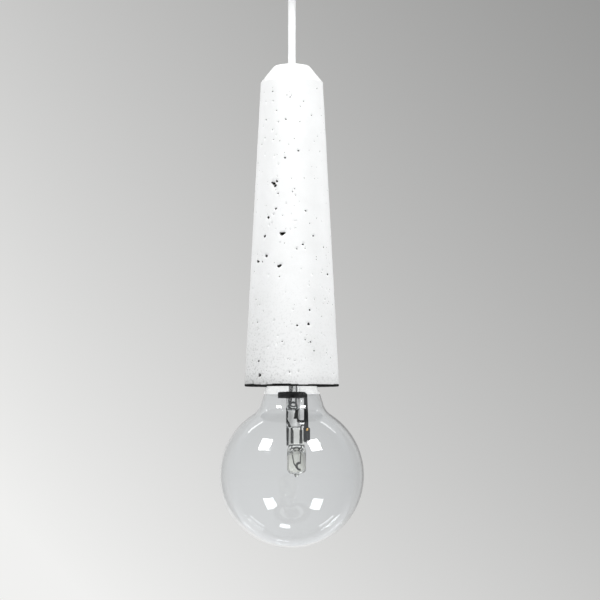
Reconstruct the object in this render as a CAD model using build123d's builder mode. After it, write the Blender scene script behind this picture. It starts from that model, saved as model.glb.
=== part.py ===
"""Pendant ceiling light: a cast concrete cone on a cord, with a large globe lamp in a hidden lampholder.

Millimetres. The origin is the centre of the ceiling face and +Z points up, so the light hangs below z = 0.
"""

from build123d import *
import math
import os

os.makedirs("parts", exist_ok=True)

# ---------------------------------------------------------------- driving dimensions

CORD_R = 2.5
CORE_R = 0.9  # an insulated conductor
CLEARANCE = 0.1  # running clearance round pins, posts and conductors
M3_R = 1.5
M10_R = 5.0

# Ceiling canopy
CUP_R = 45.0
CUP_WALL = 1.0
CUP_RIM_Z = -0.5
CUP_FLOOR_Z = -28.0  # outside face
CUP_CORNER = 5.0
SIDE_SCREW_Z = -8.0
SIDE_SCREW_R = 2.0
SLOT_HALF_WIDTH = 2.4

# Mounting bracket
STRIP_HALF_LENGTH = 43.0
STRIP_HALF_WIDTH = 11.0
STRIP_NECK_X = 34.0
STRIP_TAPER = 3.0
EAR_HALF_WIDTH = 6.0
STRIP_THICKNESS = 1.5
EAR_BOTTOM_Z = -13.0
CEILING_SLOT_SPACING = 50.0
CEILING_SLOT_LENGTH = 12.0
CEILING_SLOT_R = 2.5

# Swivel in the mouth of the canopy's cord grip
PIVOT_Z = -38.0
BALL_R = 5.0
BALL_HALF_HEIGHT = 2.5
BALL_WAIST_R = 2.85
BALL_MOUTH_R = 3.45
SEAT_R = 5.35
GRIP_R = 7.5
GRIP_BOTTOM_Z = -41.0

# Concrete body
CONCRETE_TOP_Z = -101.0
CONCRETE_HEIGHT = 212.0
CONCRETE_BOTTOM_Z = CONCRETE_TOP_Z - CONCRETE_HEIGHT
CONCRETE_BOTTOM_R = 31.2
SHOULDER_R = 20.7
SHOULDER_DROP = 12.9
CROWN_R = 11.6  # edge of the low dome
CROWN_DROP = 1.3
RECESS_R = 21.5
RECESS_TOP_Z = CONCRETE_BOTTOM_Z + 66.0
POCKET_R = 9.0
POCKET_TOP_Z = RECESS_TOP_Z + 22.0
LINER_R = 4.0
LINER_BORE_R = 3.2

# Lampholder
GASKET = 1.5
WASHER = 1.5
HOLDER_TOP_Z = RECESS_TOP_Z - GASKET - WASHER
HOLDER_R = 19.75
HOLDER_WALL = 2.0
HOLDER_SPLIT_Z = HOLDER_TOP_Z - 25.0
HOLDER_RIM_Z = CONCRETE_BOTTOM_Z + 5.0
COLLAR_R = 7.0
COLLAR_TOP_Z = HOLDER_TOP_Z + 14.0
CORD_END_Z = HOLDER_TOP_Z - 4.0

# E27 knuckle thread: a round rod whose centre follows a small helix
PITCH = 25.4 / 7
THREAD_ROD_R = 12.57
THREAD_WAVE = 0.53
THREAD_CLEARANCE = 0.25

# Globe lamp, G95
GLOBE_R = 47.5
GLASS = 0.8
GLOBE_Z = CONCRETE_BOTTOM_Z - 59.7
LAMP_LENGTH = 138.0
TIP_Z = GLOBE_Z - GLOBE_R + LAMP_LENGTH
CAP_SHEET = 0.5
CAPSULE_X = 3.1  # the burner stands beside the axis
CAPSULE_R = 6.25
CAPSULE_WALL = 1.0
PINCH_TOP_Z = CONCRETE_BOTTOM_Z - 28.9
PINCH_BOTTOM_Z = PINCH_TOP_Z - 11.7
CAPSULE_END_Z = CONCRETE_BOTTOM_Z - 61.5
FOIL_OFFSET = 2.9


# ---------------------------------------------------------------- outlines


def outline(points):
    """Face in the XZ plane with the given (radius, height) corners."""
    with BuildSketch(Plane.XZ) as face:
        with BuildLine():
            Polyline(*points, close=True)
        make_face()
    return face.sketch


def band(inner, outer, low, high):
    """Rectangular section of a ring or, from radius 0, of a disc."""
    return outline([(inner, low), (outer, low), (outer, high), (inner, high)])


def wire_solid(points, bends, radius):
    """Round wire along straight runs joined by tangent arcs."""
    with BuildPart() as wire:
        with BuildLine() as route:
            FilletPolyline(*points, radius=bends)
        start = Plane(origin=route.line @ 0, z_dir=route.line % 0)
        with BuildSketch(start):
            Circle(radius)
        sweep(path=route.line)
    return wire.part


def thread_rod(radius, low, high):
    """Solid bounded by the knuckle thread's surface; every call has the same phase in z."""
    start_z = PITCH * math.floor(low / PITCH)
    with BuildPart() as rod:
        with BuildLine() as route:
            Helix(pitch=PITCH, height=high - start_z, radius=THREAD_WAVE, center=(0, 0, start_z))
        with BuildSketch(Plane(origin=route.line @ 0)):
            Circle(radius)
        sweep(path=route.line, normal=(0, 0, 1))
        with BuildSketch(Plane.XY.offset(start_z)):
            Circle(2 * radius)
        extrude(amount=low - start_z, mode=Mode.SUBTRACT)
    return rod.part


# ---------------------------------------------------------------- mounting bracket (fixed to the ceiling)

with BuildPart() as mounting_bracket:
    with BuildSketch(Plane.XY):
        with BuildLine():
            Polyline(
                (STRIP_HALF_LENGTH, EAR_HALF_WIDTH),
                (STRIP_NECK_X + STRIP_TAPER, EAR_HALF_WIDTH),
                (STRIP_NECK_X, STRIP_HALF_WIDTH),
                (-STRIP_NECK_X, STRIP_HALF_WIDTH),
                (-STRIP_NECK_X - STRIP_TAPER, EAR_HALF_WIDTH),
                (-STRIP_HALF_LENGTH, EAR_HALF_WIDTH),
                (-STRIP_HALF_LENGTH, -EAR_HALF_WIDTH),
                (-STRIP_NECK_X - STRIP_TAPER, -EAR_HALF_WIDTH),
                (-STRIP_NECK_X, -STRIP_HALF_WIDTH),
                (STRIP_NECK_X, -STRIP_HALF_WIDTH),
                (STRIP_NECK_X + STRIP_TAPER, -EAR_HALF_WIDTH),
                (STRIP_HALF_LENGTH, -EAR_HALF_WIDTH),
                close=True,
            )
        make_face()
        with GridLocations(CEILING_SLOT_SPACING, 0, 2, 1):
            SlotOverall(CEILING_SLOT_LENGTH, 2 * CEILING_SLOT_R, mode=Mode.SUBTRACT)
    extrude(amount=-STRIP_THICKNESS)
    with BuildSketch(Plane.XY.offset(-STRIP_THICKNESS)):
        with GridLocations(2 * STRIP_HALF_LENGTH - STRIP_THICKNESS, 0, 2, 1):
            Rectangle(STRIP_THICKNESS, 2 * EAR_HALF_WIDTH)
    extrude(amount=EAR_BOTTOM_Z + STRIP_THICKNESS)
    bends = edges().filter_by(Axis.Y).group_by(Axis.Z)[-1].sort_by(Axis.X)
    fillet([bends[0], bends[-1]], radius=STRIP_THICKNESS)
    with BuildSketch(Plane.YZ):
        with Locations((0, SIDE_SCREW_Z)):
            Circle(SIDE_SCREW_R)
    extrude(amount=STRIP_HALF_LENGTH, both=True, mode=Mode.SUBTRACT)
mounting_bracket.part.label = "mounting_bracket"
export_step(mounting_bracket.part, "parts/mounting_bracket.step")

SIDE_SCREW_HEAD_X = CUP_R + 0.35
SIDE_SCREW_HEAD_R = 4.0
SIDE_SCREW_HEAD = 2.6
SIDE_SCREW_LENGTH = 10.0
SIDE_SCREW_CHAMFER = 0.5
SIDE_SCREW_SLOT = 0.9  # width and depth

with BuildPart() as canopy_side_screws:
    with BuildSketch(Plane.YZ.offset(SIDE_SCREW_HEAD_X)):
        with Locations((0, SIDE_SCREW_Z)):
            Circle(SIDE_SCREW_HEAD_R)
    extrude(amount=SIDE_SCREW_HEAD)
    rims = edges().filter_by(GeomType.CIRCLE).group_by(Axis.X)[-1]
    chamfer(rims, length=SIDE_SCREW_CHAMFER)
    with BuildSketch(Plane.YZ.offset(SIDE_SCREW_HEAD_X)):
        with Locations((0, SIDE_SCREW_Z)):
            Circle(SIDE_SCREW_R)
    extrude(amount=-SIDE_SCREW_LENGTH)
    with BuildSketch(Plane.YZ.offset(SIDE_SCREW_HEAD_X + SIDE_SCREW_HEAD)):
        with Locations((0, SIDE_SCREW_Z)):
            Rectangle(2 * SIDE_SCREW_HEAD_R, SIDE_SCREW_SLOT)
    extrude(amount=-SIDE_SCREW_SLOT, mode=Mode.SUBTRACT)
    mirror(about=Plane.YZ)
canopy_side_screws.part.label = "canopy_side_screws"
export_step(canopy_side_screws.part, "parts/canopy_side_screws.step")

# ---------------------------------------------------------------- canopy (drops down past the side screws)

BLOCK_Y = 19.0
BLOCK_HALF_X = 15.0
BLOCK_HALF_Y = 7.0
BLOCK_HEIGHT = 12.0
BLOCK_SLAB = 10.0  # height between the poles' housings
POLE_SPACING = 9.0
BLOCK_POST_X = 4.5
BLOCK_POST_R = 0.8  # M1.6, between two poles
BLOCK_POST_PROUD = 1.8
FLOOR_Z = CUP_FLOOR_Z + CUP_WALL  # inside face
BLOCK_TOP_Z = FLOOR_Z + BLOCK_HEIGHT
POLE_Z = FLOOR_Z + 5.5
POLE_R = 2.3
EARTH_POST = (25.0, 0.0)
EARTH_POST_HEIGHT = 6.0

with BuildPart() as canopy_cup:
    with BuildSketch(Plane.XZ):
        with BuildLine():
            FilletPolyline(
                (0, CUP_FLOOR_Z),
                (CUP_R, CUP_FLOOR_Z),
                (CUP_R, CUP_RIM_Z),
                (CUP_R - CUP_WALL, CUP_RIM_Z),
                (CUP_R - CUP_WALL, FLOOR_Z),
                (0, FLOOR_Z),
                radius=[0, CUP_CORNER, 0, 0, CUP_CORNER - CUP_WALL, 0],
                close=True,
            )
        make_face()
    revolve(axis=Axis.Z)
    revolve(band(0, M10_R + CLEARANCE, CUP_FLOOR_Z, FLOOR_Z), axis=Axis.Z, mode=Mode.SUBTRACT)
    # Slots open at the rim let the cup slide down off the side screws
    with BuildSketch(Plane.YZ):
        with Locations((0, SIDE_SCREW_Z)):
            Circle(SLOT_HALF_WIDTH)
        with Locations((0, SIDE_SCREW_Z / 2)):
            Rectangle(2 * SLOT_HALF_WIDTH, -SIDE_SCREW_Z)
    extrude(amount=CUP_R, both=True, mode=Mode.SUBTRACT)
    # Threaded posts welded to the floor hold the terminal block and the earth tag
    with BuildSketch(Plane.XY.offset(FLOOR_Z)):
        with Locations((-BLOCK_POST_X, BLOCK_Y), (BLOCK_POST_X, BLOCK_Y)):
            Circle(BLOCK_POST_R)
    extrude(amount=BLOCK_SLAB + BLOCK_POST_PROUD)
    with BuildSketch(Plane.XY.offset(FLOOR_Z)):
        with Locations(EARTH_POST):
            Circle(M3_R)
    extrude(amount=EARTH_POST_HEIGHT)
canopy_cup.part.label = "canopy_cup"
export_step(canopy_cup.part, "parts/canopy_cup.step")

GRIP_FLANGE_R = 9.0
GRIP_SHANK_TOP_Z = -16.0
GRIP_BORE_R = CORD_R + 0.05
GRIP_SCREW_Z = -31.0
GRIP_SCREW_END_X = 7.2
GRIP_CHAMFER = 1.0
GRIP_FLANGE = 1.2

with BuildPart() as canopy_cord_grip:
    revolve(
        outline(
            [
                (GRIP_BORE_R, GRIP_BOTTOM_Z),
                (GRIP_R - GRIP_CHAMFER, GRIP_BOTTOM_Z),
                (GRIP_R, GRIP_BOTTOM_Z + GRIP_CHAMFER),
                (GRIP_R, CUP_FLOOR_Z - GRIP_FLANGE),
                (GRIP_FLANGE_R, CUP_FLOOR_Z - GRIP_FLANGE),
                (GRIP_FLANGE_R, CUP_FLOOR_Z),
                (M10_R, CUP_FLOOR_Z),
                (M10_R, GRIP_SHANK_TOP_Z),
                (GRIP_BORE_R, GRIP_SHANK_TOP_Z),
            ]
        ),
        axis=Axis.Z,
    )
    # Ball seat at the mouth, open below by less than the ball's diameter
    with Locations((0, 0, PIVOT_Z)):
        Sphere(SEAT_R, mode=Mode.SUBTRACT)
    with BuildSketch(Plane.YZ.offset(CORD_R)):
        with Locations((0, GRIP_SCREW_Z)):
            Circle(M3_R)
    extrude(amount=GRIP_R, mode=Mode.SUBTRACT)
canopy_cord_grip.part.label = "canopy_cord_grip"
export_step(canopy_cord_grip.part, "parts/canopy_cord_grip.step")

DRIVER_SLOT = 0.6
DRIVER_SLOT_DEPTH = 0.8


def grub_screw(z, end_x):
    """M3 grub screw lying along +X from the cord's surface, with a driver slot."""
    with BuildPart() as screw:
        with BuildSketch(Plane.YZ.offset(GRIP_BORE_R)):
            with Locations((0, z)):
                Circle(M3_R)
        extrude(amount=end_x - GRIP_BORE_R)
        with BuildSketch(Plane.YZ.offset(end_x)):
            with Locations((0, z)):
                Rectangle(2 * M3_R, DRIVER_SLOT)
        extrude(amount=-DRIVER_SLOT_DEPTH, mode=Mode.SUBTRACT)
    return screw.part


with BuildPart() as canopy_grip_screw:
    add(grub_screw(GRIP_SCREW_Z, GRIP_SCREW_END_X))
canopy_grip_screw.part.label = "canopy_grip_screw"
export_step(canopy_grip_screw.part, "parts/canopy_grip_screw.step")

LOCK_NUT_CORNER_R = 8.0
LOCK_NUT_HEIGHT = 3.0

with BuildPart() as canopy_lock_nut:
    with BuildSketch(Plane.XY.offset(FLOOR_Z)):
        RegularPolygon(radius=LOCK_NUT_CORNER_R, side_count=6)
        Circle(M10_R, mode=Mode.SUBTRACT)
    extrude(amount=LOCK_NUT_HEIGHT)
canopy_lock_nut.part.label = "canopy_lock_nut"
export_step(canopy_lock_nut.part, "parts/canopy_lock_nut.step")

POLE_SCREW_R = 1.25
POLE_SCREW_Y = 3.8
POLE_XS = (-POLE_SPACING, 0.0, POLE_SPACING)
POLE_SCREW_SPOTS = [(x, BLOCK_Y + y) for x in POLE_XS for y in (-POLE_SCREW_Y, POLE_SCREW_Y)]
POLE_HOUSING_WIDTH = 5.6
POLE_ACCESS_R = 2.2
POLE_BORE_R = CORE_R + 0.5
POLE_SET_BACK = 0.6  # the metal stops short of the plastic's ends

with BuildPart() as terminal_block:
    with BuildSketch(Plane.XY.offset(FLOOR_Z)):
        with Locations((0, BLOCK_Y)):
            Rectangle(2 * BLOCK_HALF_X, 2 * BLOCK_HALF_Y)
    extrude(amount=BLOCK_SLAB)
    with BuildSketch(Plane.XY.offset(FLOOR_Z + BLOCK_SLAB)):
        with Locations(*[(x, BLOCK_Y) for x in POLE_XS]):
            Rectangle(POLE_HOUSING_WIDTH, 2 * BLOCK_HALF_Y)
    extrude(amount=BLOCK_HEIGHT - BLOCK_SLAB)
    with BuildSketch(Plane.XZ.offset(-BLOCK_Y)):
        with Locations(*[(x, POLE_Z) for x in POLE_XS]):
            Circle(POLE_R)
    extrude(amount=BLOCK_HALF_Y, both=True, mode=Mode.SUBTRACT)
    with BuildSketch(Plane.XY.offset(BLOCK_TOP_Z)):
        with Locations(*POLE_SCREW_SPOTS):
            Circle(POLE_ACCESS_R)
    extrude(amount=POLE_Z - BLOCK_TOP_Z, mode=Mode.SUBTRACT)
    with BuildSketch(Plane.XY.offset(FLOOR_Z)):
        with Locations((-BLOCK_POST_X, BLOCK_Y), (BLOCK_POST_X, BLOCK_Y)):
            Circle(BLOCK_POST_R + CLEARANCE)
    extrude(amount=BLOCK_HEIGHT, mode=Mode.SUBTRACT)
terminal_block.part.label = "terminal_block"
export_step(terminal_block.part, "parts/terminal_block.step")

with BuildPart() as terminal_inserts:
    with BuildSketch(Plane.XZ.offset(-BLOCK_Y)):
        with Locations(*[(x, POLE_Z) for x in POLE_XS]):
            Circle(POLE_R)
            Circle(POLE_BORE_R, mode=Mode.SUBTRACT)
    extrude(amount=BLOCK_HALF_Y - POLE_SET_BACK, both=True)
    with BuildSketch(Plane.XY.offset(POLE_Z + POLE_R)):
        with Locations(*POLE_SCREW_SPOTS):
            Circle(POLE_SCREW_R)
    extrude(amount=-POLE_R, mode=Mode.SUBTRACT)
terminal_inserts.part.label = "terminal_inserts"
export_step(terminal_inserts.part, "parts/terminal_inserts.step")

POLE_SCREW_FOOT_Z = POLE_Z + CORE_R + CLEARANCE
POLE_SCREW_NECK_Z = POLE_Z + POLE_R + 0.7
POLE_SCREW_HEAD = 1.6
POLE_SCREW_HEAD_R = 2.0

with BuildPart() as terminal_block_screws:
    with BuildSketch(Plane.XY.offset(POLE_SCREW_FOOT_Z)):
        with Locations(*POLE_SCREW_SPOTS):
            Circle(POLE_SCREW_R)
    extrude(amount=POLE_SCREW_NECK_Z - POLE_SCREW_FOOT_Z)
    with BuildSketch(Plane.XY.offset(POLE_SCREW_NECK_Z)):
        with Locations(*POLE_SCREW_SPOTS):
            Circle(POLE_SCREW_HEAD_R)
    extrude(amount=POLE_SCREW_HEAD)
    with BuildSketch(Plane.XY.offset(POLE_SCREW_NECK_Z + POLE_SCREW_HEAD)):
        with Locations(*POLE_SCREW_SPOTS):
            Rectangle(2 * POLE_SCREW_HEAD_R, DRIVER_SLOT)
    extrude(amount=-DRIVER_SLOT_DEPTH, mode=Mode.SUBTRACT)
terminal_block_screws.part.label = "terminal_block_screws"
export_step(terminal_block_screws.part, "parts/terminal_block_screws.step")

BLOCK_NUT_FLATS = 3.2
BLOCK_NUT_HEIGHT = 1.3
EARTH_NUT_FLATS = 5.5
EARTH_NUT_HEIGHT = 2.4
TAG_THICKNESS = 0.8

with BuildPart() as post_nuts:
    with BuildSketch(Plane.XY.offset(FLOOR_Z + BLOCK_SLAB)):
        with Locations((-BLOCK_POST_X, BLOCK_Y), (BLOCK_POST_X, BLOCK_Y)):
            RegularPolygon(radius=BLOCK_NUT_FLATS / 2, side_count=6, major_radius=False, rotation=30)
            Circle(BLOCK_POST_R, mode=Mode.SUBTRACT)
    extrude(amount=BLOCK_NUT_HEIGHT)
    with BuildSketch(Plane.XY.offset(FLOOR_Z + TAG_THICKNESS)):
        with Locations(EARTH_POST):
            RegularPolygon(radius=EARTH_NUT_FLATS / 2, side_count=6, major_radius=False)
            Circle(M3_R, mode=Mode.SUBTRACT)
    extrude(amount=EARTH_NUT_HEIGHT)
post_nuts.part.label = "post_nuts"
export_step(post_nuts.part, "parts/post_nuts.step")

TAG_EYE_R = 3.2
TAG_LENGTH = 7.5
BARREL_R = 1.5
BARREL_BORE_R = CORE_R + 0.05
BARREL_START = 5.0
BARREL_LENGTH = 4.0
BARREL_Z = FLOOR_Z + BARREL_R

with BuildPart() as earth_tag:
    with BuildSketch(Plane.XY.offset(FLOOR_Z)):
        with Locations(EARTH_POST):
            Circle(TAG_EYE_R)
        with Locations((EARTH_POST[0], EARTH_POST[1] + TAG_LENGTH / 2)):
            Rectangle(2 * BARREL_R, TAG_LENGTH)
        with Locations(EARTH_POST):
            Circle(M3_R + CLEARANCE, mode=Mode.SUBTRACT)
    extrude(amount=TAG_THICKNESS)
    with BuildSketch(Plane.XZ.offset(-EARTH_POST[1] - BARREL_START)):
        with Locations((EARTH_POST[0], BARREL_Z)):
            Circle(BARREL_R)
    extrude(amount=-BARREL_LENGTH)
    with BuildSketch(Plane.XZ.offset(-EARTH_POST[1] - BARREL_START)):
        with Locations((EARTH_POST[0], BARREL_Z)):
            Circle(BARREL_BORE_R)
    extrude(amount=-BARREL_LENGTH, mode=Mode.SUBTRACT)
earth_tag.part.label = "earth_tag"
export_step(earth_tag.part, "parts/earth_tag.step")

POLE_ENTRY_Y = BLOCK_Y - BLOCK_HALF_Y + 2.0
CORE_BEND = 2.4
EARTH_ARCH_Z = POLE_Z + 5.0  # the earth lead arches over the neutral core
EARTH_DROP_Y = BLOCK_Y - BLOCK_HALF_Y - 6.0

with BuildPart() as earth_lead:
    add(
        wire_solid(
            [
                (EARTH_POST[0], EARTH_POST[1] + BARREL_START + 1, BARREL_Z),
                (EARTH_POST[0], EARTH_POST[1] + 13, BARREL_Z),
                (EARTH_POST[0] - 5, EARTH_POST[1] + 8, EARTH_ARCH_Z),
                (POLE_SPACING, EARTH_DROP_Y, EARTH_ARCH_Z),
                (POLE_SPACING, EARTH_DROP_Y, POLE_Z),
                (POLE_SPACING, POLE_ENTRY_Y, POLE_Z),
            ],
            [1.6, 2.0, 2.0, 2.0],
            CORE_R,
        )
    )
earth_lead.part.label = "earth_lead"
export_step(earth_lead.part, "parts/earth_lead.step")

TAIL_TOP_Z = GRIP_SHANK_TOP_Z + 2.0
TAIL_BOTTOM_Z = PIVOT_Z + CORD_R + 0.35
CORE_OFFSET = 1.2
LOOP_Z = TAIL_TOP_Z + 5.0
LIVE_DROP_Y = 4.0
NEUTRAL_DROP_Y = 8.0

with BuildPart() as cord_tail:
    with BuildSketch(Plane.XY.offset(TAIL_BOTTOM_Z)):
        Circle(CORD_R)
    extrude(amount=TAIL_TOP_Z - TAIL_BOTTOM_Z)
cord_tail.part.label = "cord_tail"
export_step(cord_tail.part, "parts/cord_tail.step")

with BuildPart() as canopy_live_core:
    add(
        wire_solid(
            [
                (-CORE_OFFSET, 0, TAIL_TOP_Z),
                (-CORE_OFFSET, 0, LOOP_Z),
                (-POLE_SPACING, LIVE_DROP_Y, LOOP_Z),
                (-POLE_SPACING, LIVE_DROP_Y, POLE_Z),
                (-POLE_SPACING, POLE_ENTRY_Y, POLE_Z),
            ],
            [CORE_BEND, CORE_BEND, CORE_BEND],
            CORE_R,
        )
    )
canopy_live_core.part.label = "canopy_live_core"
export_step(canopy_live_core.part, "parts/canopy_live_core.step")

with BuildPart() as canopy_neutral_core:
    add(
        wire_solid(
            [
                (CORE_OFFSET, 0, TAIL_TOP_Z),
                (CORE_OFFSET, 0, LOOP_Z),
                (0, NEUTRAL_DROP_Y, LOOP_Z),
                (0, NEUTRAL_DROP_Y, POLE_Z),
                (0, POLE_ENTRY_Y, POLE_Z),
            ],
            [CORE_BEND, CORE_BEND, CORE_BEND],
            CORE_R,
        )
    )
canopy_neutral_core.part.label = "canopy_neutral_core"
export_step(canopy_neutral_core.part, "parts/canopy_neutral_core.step")

# ---------------------------------------------------------------- swivel ball (between the two swing axes)

with BuildPart() as swivel_ball:
    with Locations((0, 0, PIVOT_Z)):
        Sphere(BALL_R)
    with BuildSketch(Plane.XY.offset(PIVOT_Z - BALL_HALF_HEIGHT)):
        Circle(BALL_R)
    extrude(amount=2 * BALL_HALF_HEIGHT, mode=Mode.INTERSECT)
    # Hourglass bore, so that the cord can lean either way inside the ball
    revolve(
        outline(
            [
                (0, PIVOT_Z - BALL_HALF_HEIGHT),
                (BALL_MOUTH_R, PIVOT_Z - BALL_HALF_HEIGHT),
                (BALL_WAIST_R, PIVOT_Z),
                (BALL_MOUTH_R, PIVOT_Z + BALL_HALF_HEIGHT),
                (0, PIVOT_Z + BALL_HALF_HEIGHT),
            ]
        ),
        axis=Axis.Z,
        mode=Mode.SUBTRACT,
    )
swivel_ball.part.label = "swivel_ball"
export_step(swivel_ball.part, "parts/swivel_ball.step")

# ---------------------------------------------------------------- pendant: cord, concrete body, lampholder

# The cord hangs straight; its upper end is a half ball about the swing pivot
with BuildPart() as cord:
    with BuildSketch(Plane.XY.offset(PIVOT_Z)):
        Circle(CORD_R)
    extrude(amount=CORD_END_Z - PIVOT_Z)
    with Locations((0, 0, PIVOT_Z)):
        Sphere(CORD_R)
cord.part.label = "cord"
export_step(cord.part, "parts/cord.step")

with BuildPart() as concrete_body:
    with BuildSketch(Plane.XZ):
        with BuildLine():
            FilletPolyline(
                (LINER_R, CONCRETE_TOP_Z),
                (CROWN_R, CONCRETE_TOP_Z - CROWN_DROP),
                (SHOULDER_R, CONCRETE_TOP_Z - SHOULDER_DROP),
                (CONCRETE_BOTTOM_R, CONCRETE_BOTTOM_Z),
                (RECESS_R, CONCRETE_BOTTOM_Z),
                (RECESS_R, RECESS_TOP_Z),
                (POCKET_R, RECESS_TOP_Z),
                (POCKET_R, POCKET_TOP_Z),
                (LINER_R, POCKET_TOP_Z),
                radius=[0, 3.0, 1.6, 0.8, 0.6, 1.5, 0.5, 0.5, 0],
                close=True,
            )
        make_face()
    revolve(axis=Axis.Z)
concrete_body.part.label = "concrete_body"
export_step(concrete_body.part, "parts/concrete_body.step")

LINER_RECESS = 0.4
LINER_LIP = 0.3

with BuildPart() as liner_tube:
    revolve(band(LINER_BORE_R, LINER_R, POCKET_TOP_Z, CONCRETE_TOP_Z - LINER_RECESS), axis=Axis.Z)
    mouth = edges().filter_by(GeomType.CIRCLE).group_by(Axis.Z)[-1].sort_by(SortBy.RADIUS)[0]
    fillet(mouth, radius=LINER_LIP)
liner_tube.part.label = "liner_tube"
export_step(liner_tube.part, "parts/liner_tube.step")

GASKET_BORE_R = 10.0
GASKET_R = 19.5
WASHER_R = 19.0
WASHER_BORE_R = COLLAR_R + 0.4

with BuildPart() as seat_gasket:
    revolve(band(GASKET_BORE_R, GASKET_R, RECESS_TOP_Z - GASKET, RECESS_TOP_Z), axis=Axis.Z)
seat_gasket.part.label = "seat_gasket"
export_step(seat_gasket.part, "parts/seat_gasket.step")

with BuildPart() as load_washer:
    revolve(band(WASHER_BORE_R, WASHER_R, HOLDER_TOP_Z, HOLDER_TOP_Z + WASHER), axis=Axis.Z)
load_washer.part.label = "load_washer"
export_step(load_washer.part, "parts/load_washer.step")

HOLDER_SCREW_Z = HOLDER_TOP_Z + 8.0
HOLDER_SCREW_END_X = 6.8
NIPPLE_BOTTOM_Z = HOLDER_TOP_Z - HOLDER_WALL - 1.5
COLLAR_CHAMFER = 1.5

with BuildPart() as holder_cord_grip:
    revolve(
        outline(
            [
                (GRIP_BORE_R, NIPPLE_BOTTOM_Z),
                (M10_R, NIPPLE_BOTTOM_Z),
                (M10_R, HOLDER_TOP_Z),
                (COLLAR_R, HOLDER_TOP_Z),
                (COLLAR_R, COLLAR_TOP_Z - COLLAR_CHAMFER),
                (COLLAR_R - COLLAR_CHAMFER, COLLAR_TOP_Z),
                (GRIP_BORE_R, COLLAR_TOP_Z),
            ]
        ),
        axis=Axis.Z,
    )
    with BuildSketch(Plane.YZ.offset(CORD_R)):
        with Locations((0, HOLDER_SCREW_Z)):
            Circle(M3_R)
    extrude(amount=COLLAR_R, mode=Mode.SUBTRACT)
holder_cord_grip.part.label = "holder_cord_grip"
export_step(holder_cord_grip.part, "parts/holder_cord_grip.step")

with BuildPart() as holder_grip_screw:
    add(grub_screw(HOLDER_SCREW_Z, HOLDER_SCREW_END_X))
holder_grip_screw.part.label = "holder_grip_screw"
export_step(holder_grip_screw.part, "parts/holder_grip_screw.step")

HOLDER_SHOULDER = 5.0
RIB_COUNT = 36
RIB_R = 0.45
RIB_LENGTH = 12.0
RIB_MARGIN = 2.0

with BuildPart() as lampholder_cap:
    with BuildSketch(Plane.XZ):
        with BuildLine():
            FilletPolyline(
                (M10_R, HOLDER_TOP_Z),
                (HOLDER_R, HOLDER_TOP_Z),
                (HOLDER_R, HOLDER_SPLIT_Z),
                (HOLDER_R - HOLDER_WALL, HOLDER_SPLIT_Z),
                (HOLDER_R - HOLDER_WALL, HOLDER_TOP_Z - HOLDER_WALL),
                (M10_R, HOLDER_TOP_Z - HOLDER_WALL),
                radius=[0, HOLDER_SHOULDER, 0, 0, HOLDER_SHOULDER - HOLDER_WALL, 0],
                close=True,
            )
        make_face()
    revolve(axis=Axis.Z)
    # Grip ribs round the wall
    with BuildSketch(Plane.XY.offset(HOLDER_SPLIT_Z + RIB_MARGIN)):
        with PolarLocations(HOLDER_R, RIB_COUNT):
            Circle(RIB_R)
    extrude(amount=RIB_LENGTH, mode=Mode.SUBTRACT)
lampholder_cap.part.label = "lampholder_cap"
export_step(lampholder_cap.part, "parts/lampholder_cap.step")

NECK_R = HOLDER_R - HOLDER_WALL - 0.15
NECK_BORE_R = 15.9
NECK_TOP_Z = HOLDER_SPLIT_Z + 5.0
INSERT_R = 15.5
INSERT_BOTTOM_Z = TIP_Z + 3.2
INSERT_TOP_Z = INSERT_BOTTOM_Z + 9.0
THREAD_WALL_R = 15.0
THREAD_TOP_Z = TIP_Z - 1.8
MOUTH_R = 14.2
MOUTH_TOP_Z = HOLDER_RIM_Z + 7.0
SKIRT_POCKET_R = 17.0
SKIRT_POCKET_Z = HOLDER_RIM_Z + 4.0
RIM_CHAMFER = 0.6
THREAD_RUN_OUT = 1.0
CONTACT_SLOT_X = 11.0
CONTACT_SLOT_HALF_WIDTH = 2.6
CONTACT_SLOT_BOTTOM_Z = TIP_Z - 9.0

with BuildPart() as lampholder_sleeve:
    revolve(
        outline(
            [
                (0, HOLDER_RIM_Z),
                (HOLDER_R - RIM_CHAMFER, HOLDER_RIM_Z),
                (HOLDER_R, HOLDER_RIM_Z + RIM_CHAMFER),
                (HOLDER_R, HOLDER_SPLIT_Z),
                (NECK_R, HOLDER_SPLIT_Z),
                (NECK_R, NECK_TOP_Z),
                (0, NECK_TOP_Z),
            ]
        ),
        axis=Axis.Z,
    )
    # Mouth, space above the thread, and seat of the insert
    revolve(band(0, MOUTH_R, HOLDER_RIM_Z, MOUTH_TOP_Z), axis=Axis.Z, mode=Mode.SUBTRACT)
    revolve(band(0, MOUTH_R, THREAD_TOP_Z, INSERT_BOTTOM_Z), axis=Axis.Z, mode=Mode.SUBTRACT)
    revolve(band(0, NECK_BORE_R, INSERT_BOTTOM_Z, NECK_TOP_Z), axis=Axis.Z, mode=Mode.SUBTRACT)
    # Gap between the threaded wall and the outer skirt
    revolve(
        band(THREAD_WALL_R, SKIRT_POCKET_R, SKIRT_POCKET_Z, INSERT_BOTTOM_Z),
        axis=Axis.Z,
        mode=Mode.SUBTRACT,
    )
    add(
        thread_rod(
            THREAD_ROD_R + THREAD_CLEARANCE,
            MOUTH_TOP_Z - THREAD_RUN_OUT,
            THREAD_TOP_Z + THREAD_RUN_OUT,
        ),
        mode=Mode.SUBTRACT,
    )
    with BuildSketch(Plane.XY.offset(CONTACT_SLOT_BOTTOM_Z)):
        with Locations(((THREAD_WALL_R + CONTACT_SLOT_X) / 2, 0)):
            Rectangle(THREAD_WALL_R - CONTACT_SLOT_X, 2 * CONTACT_SLOT_HALF_WIDTH)
    extrude(amount=INSERT_BOTTOM_Z - CONTACT_SLOT_BOTTOM_Z, mode=Mode.SUBTRACT)
lampholder_sleeve.part.label = "lampholder_sleeve"
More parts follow.
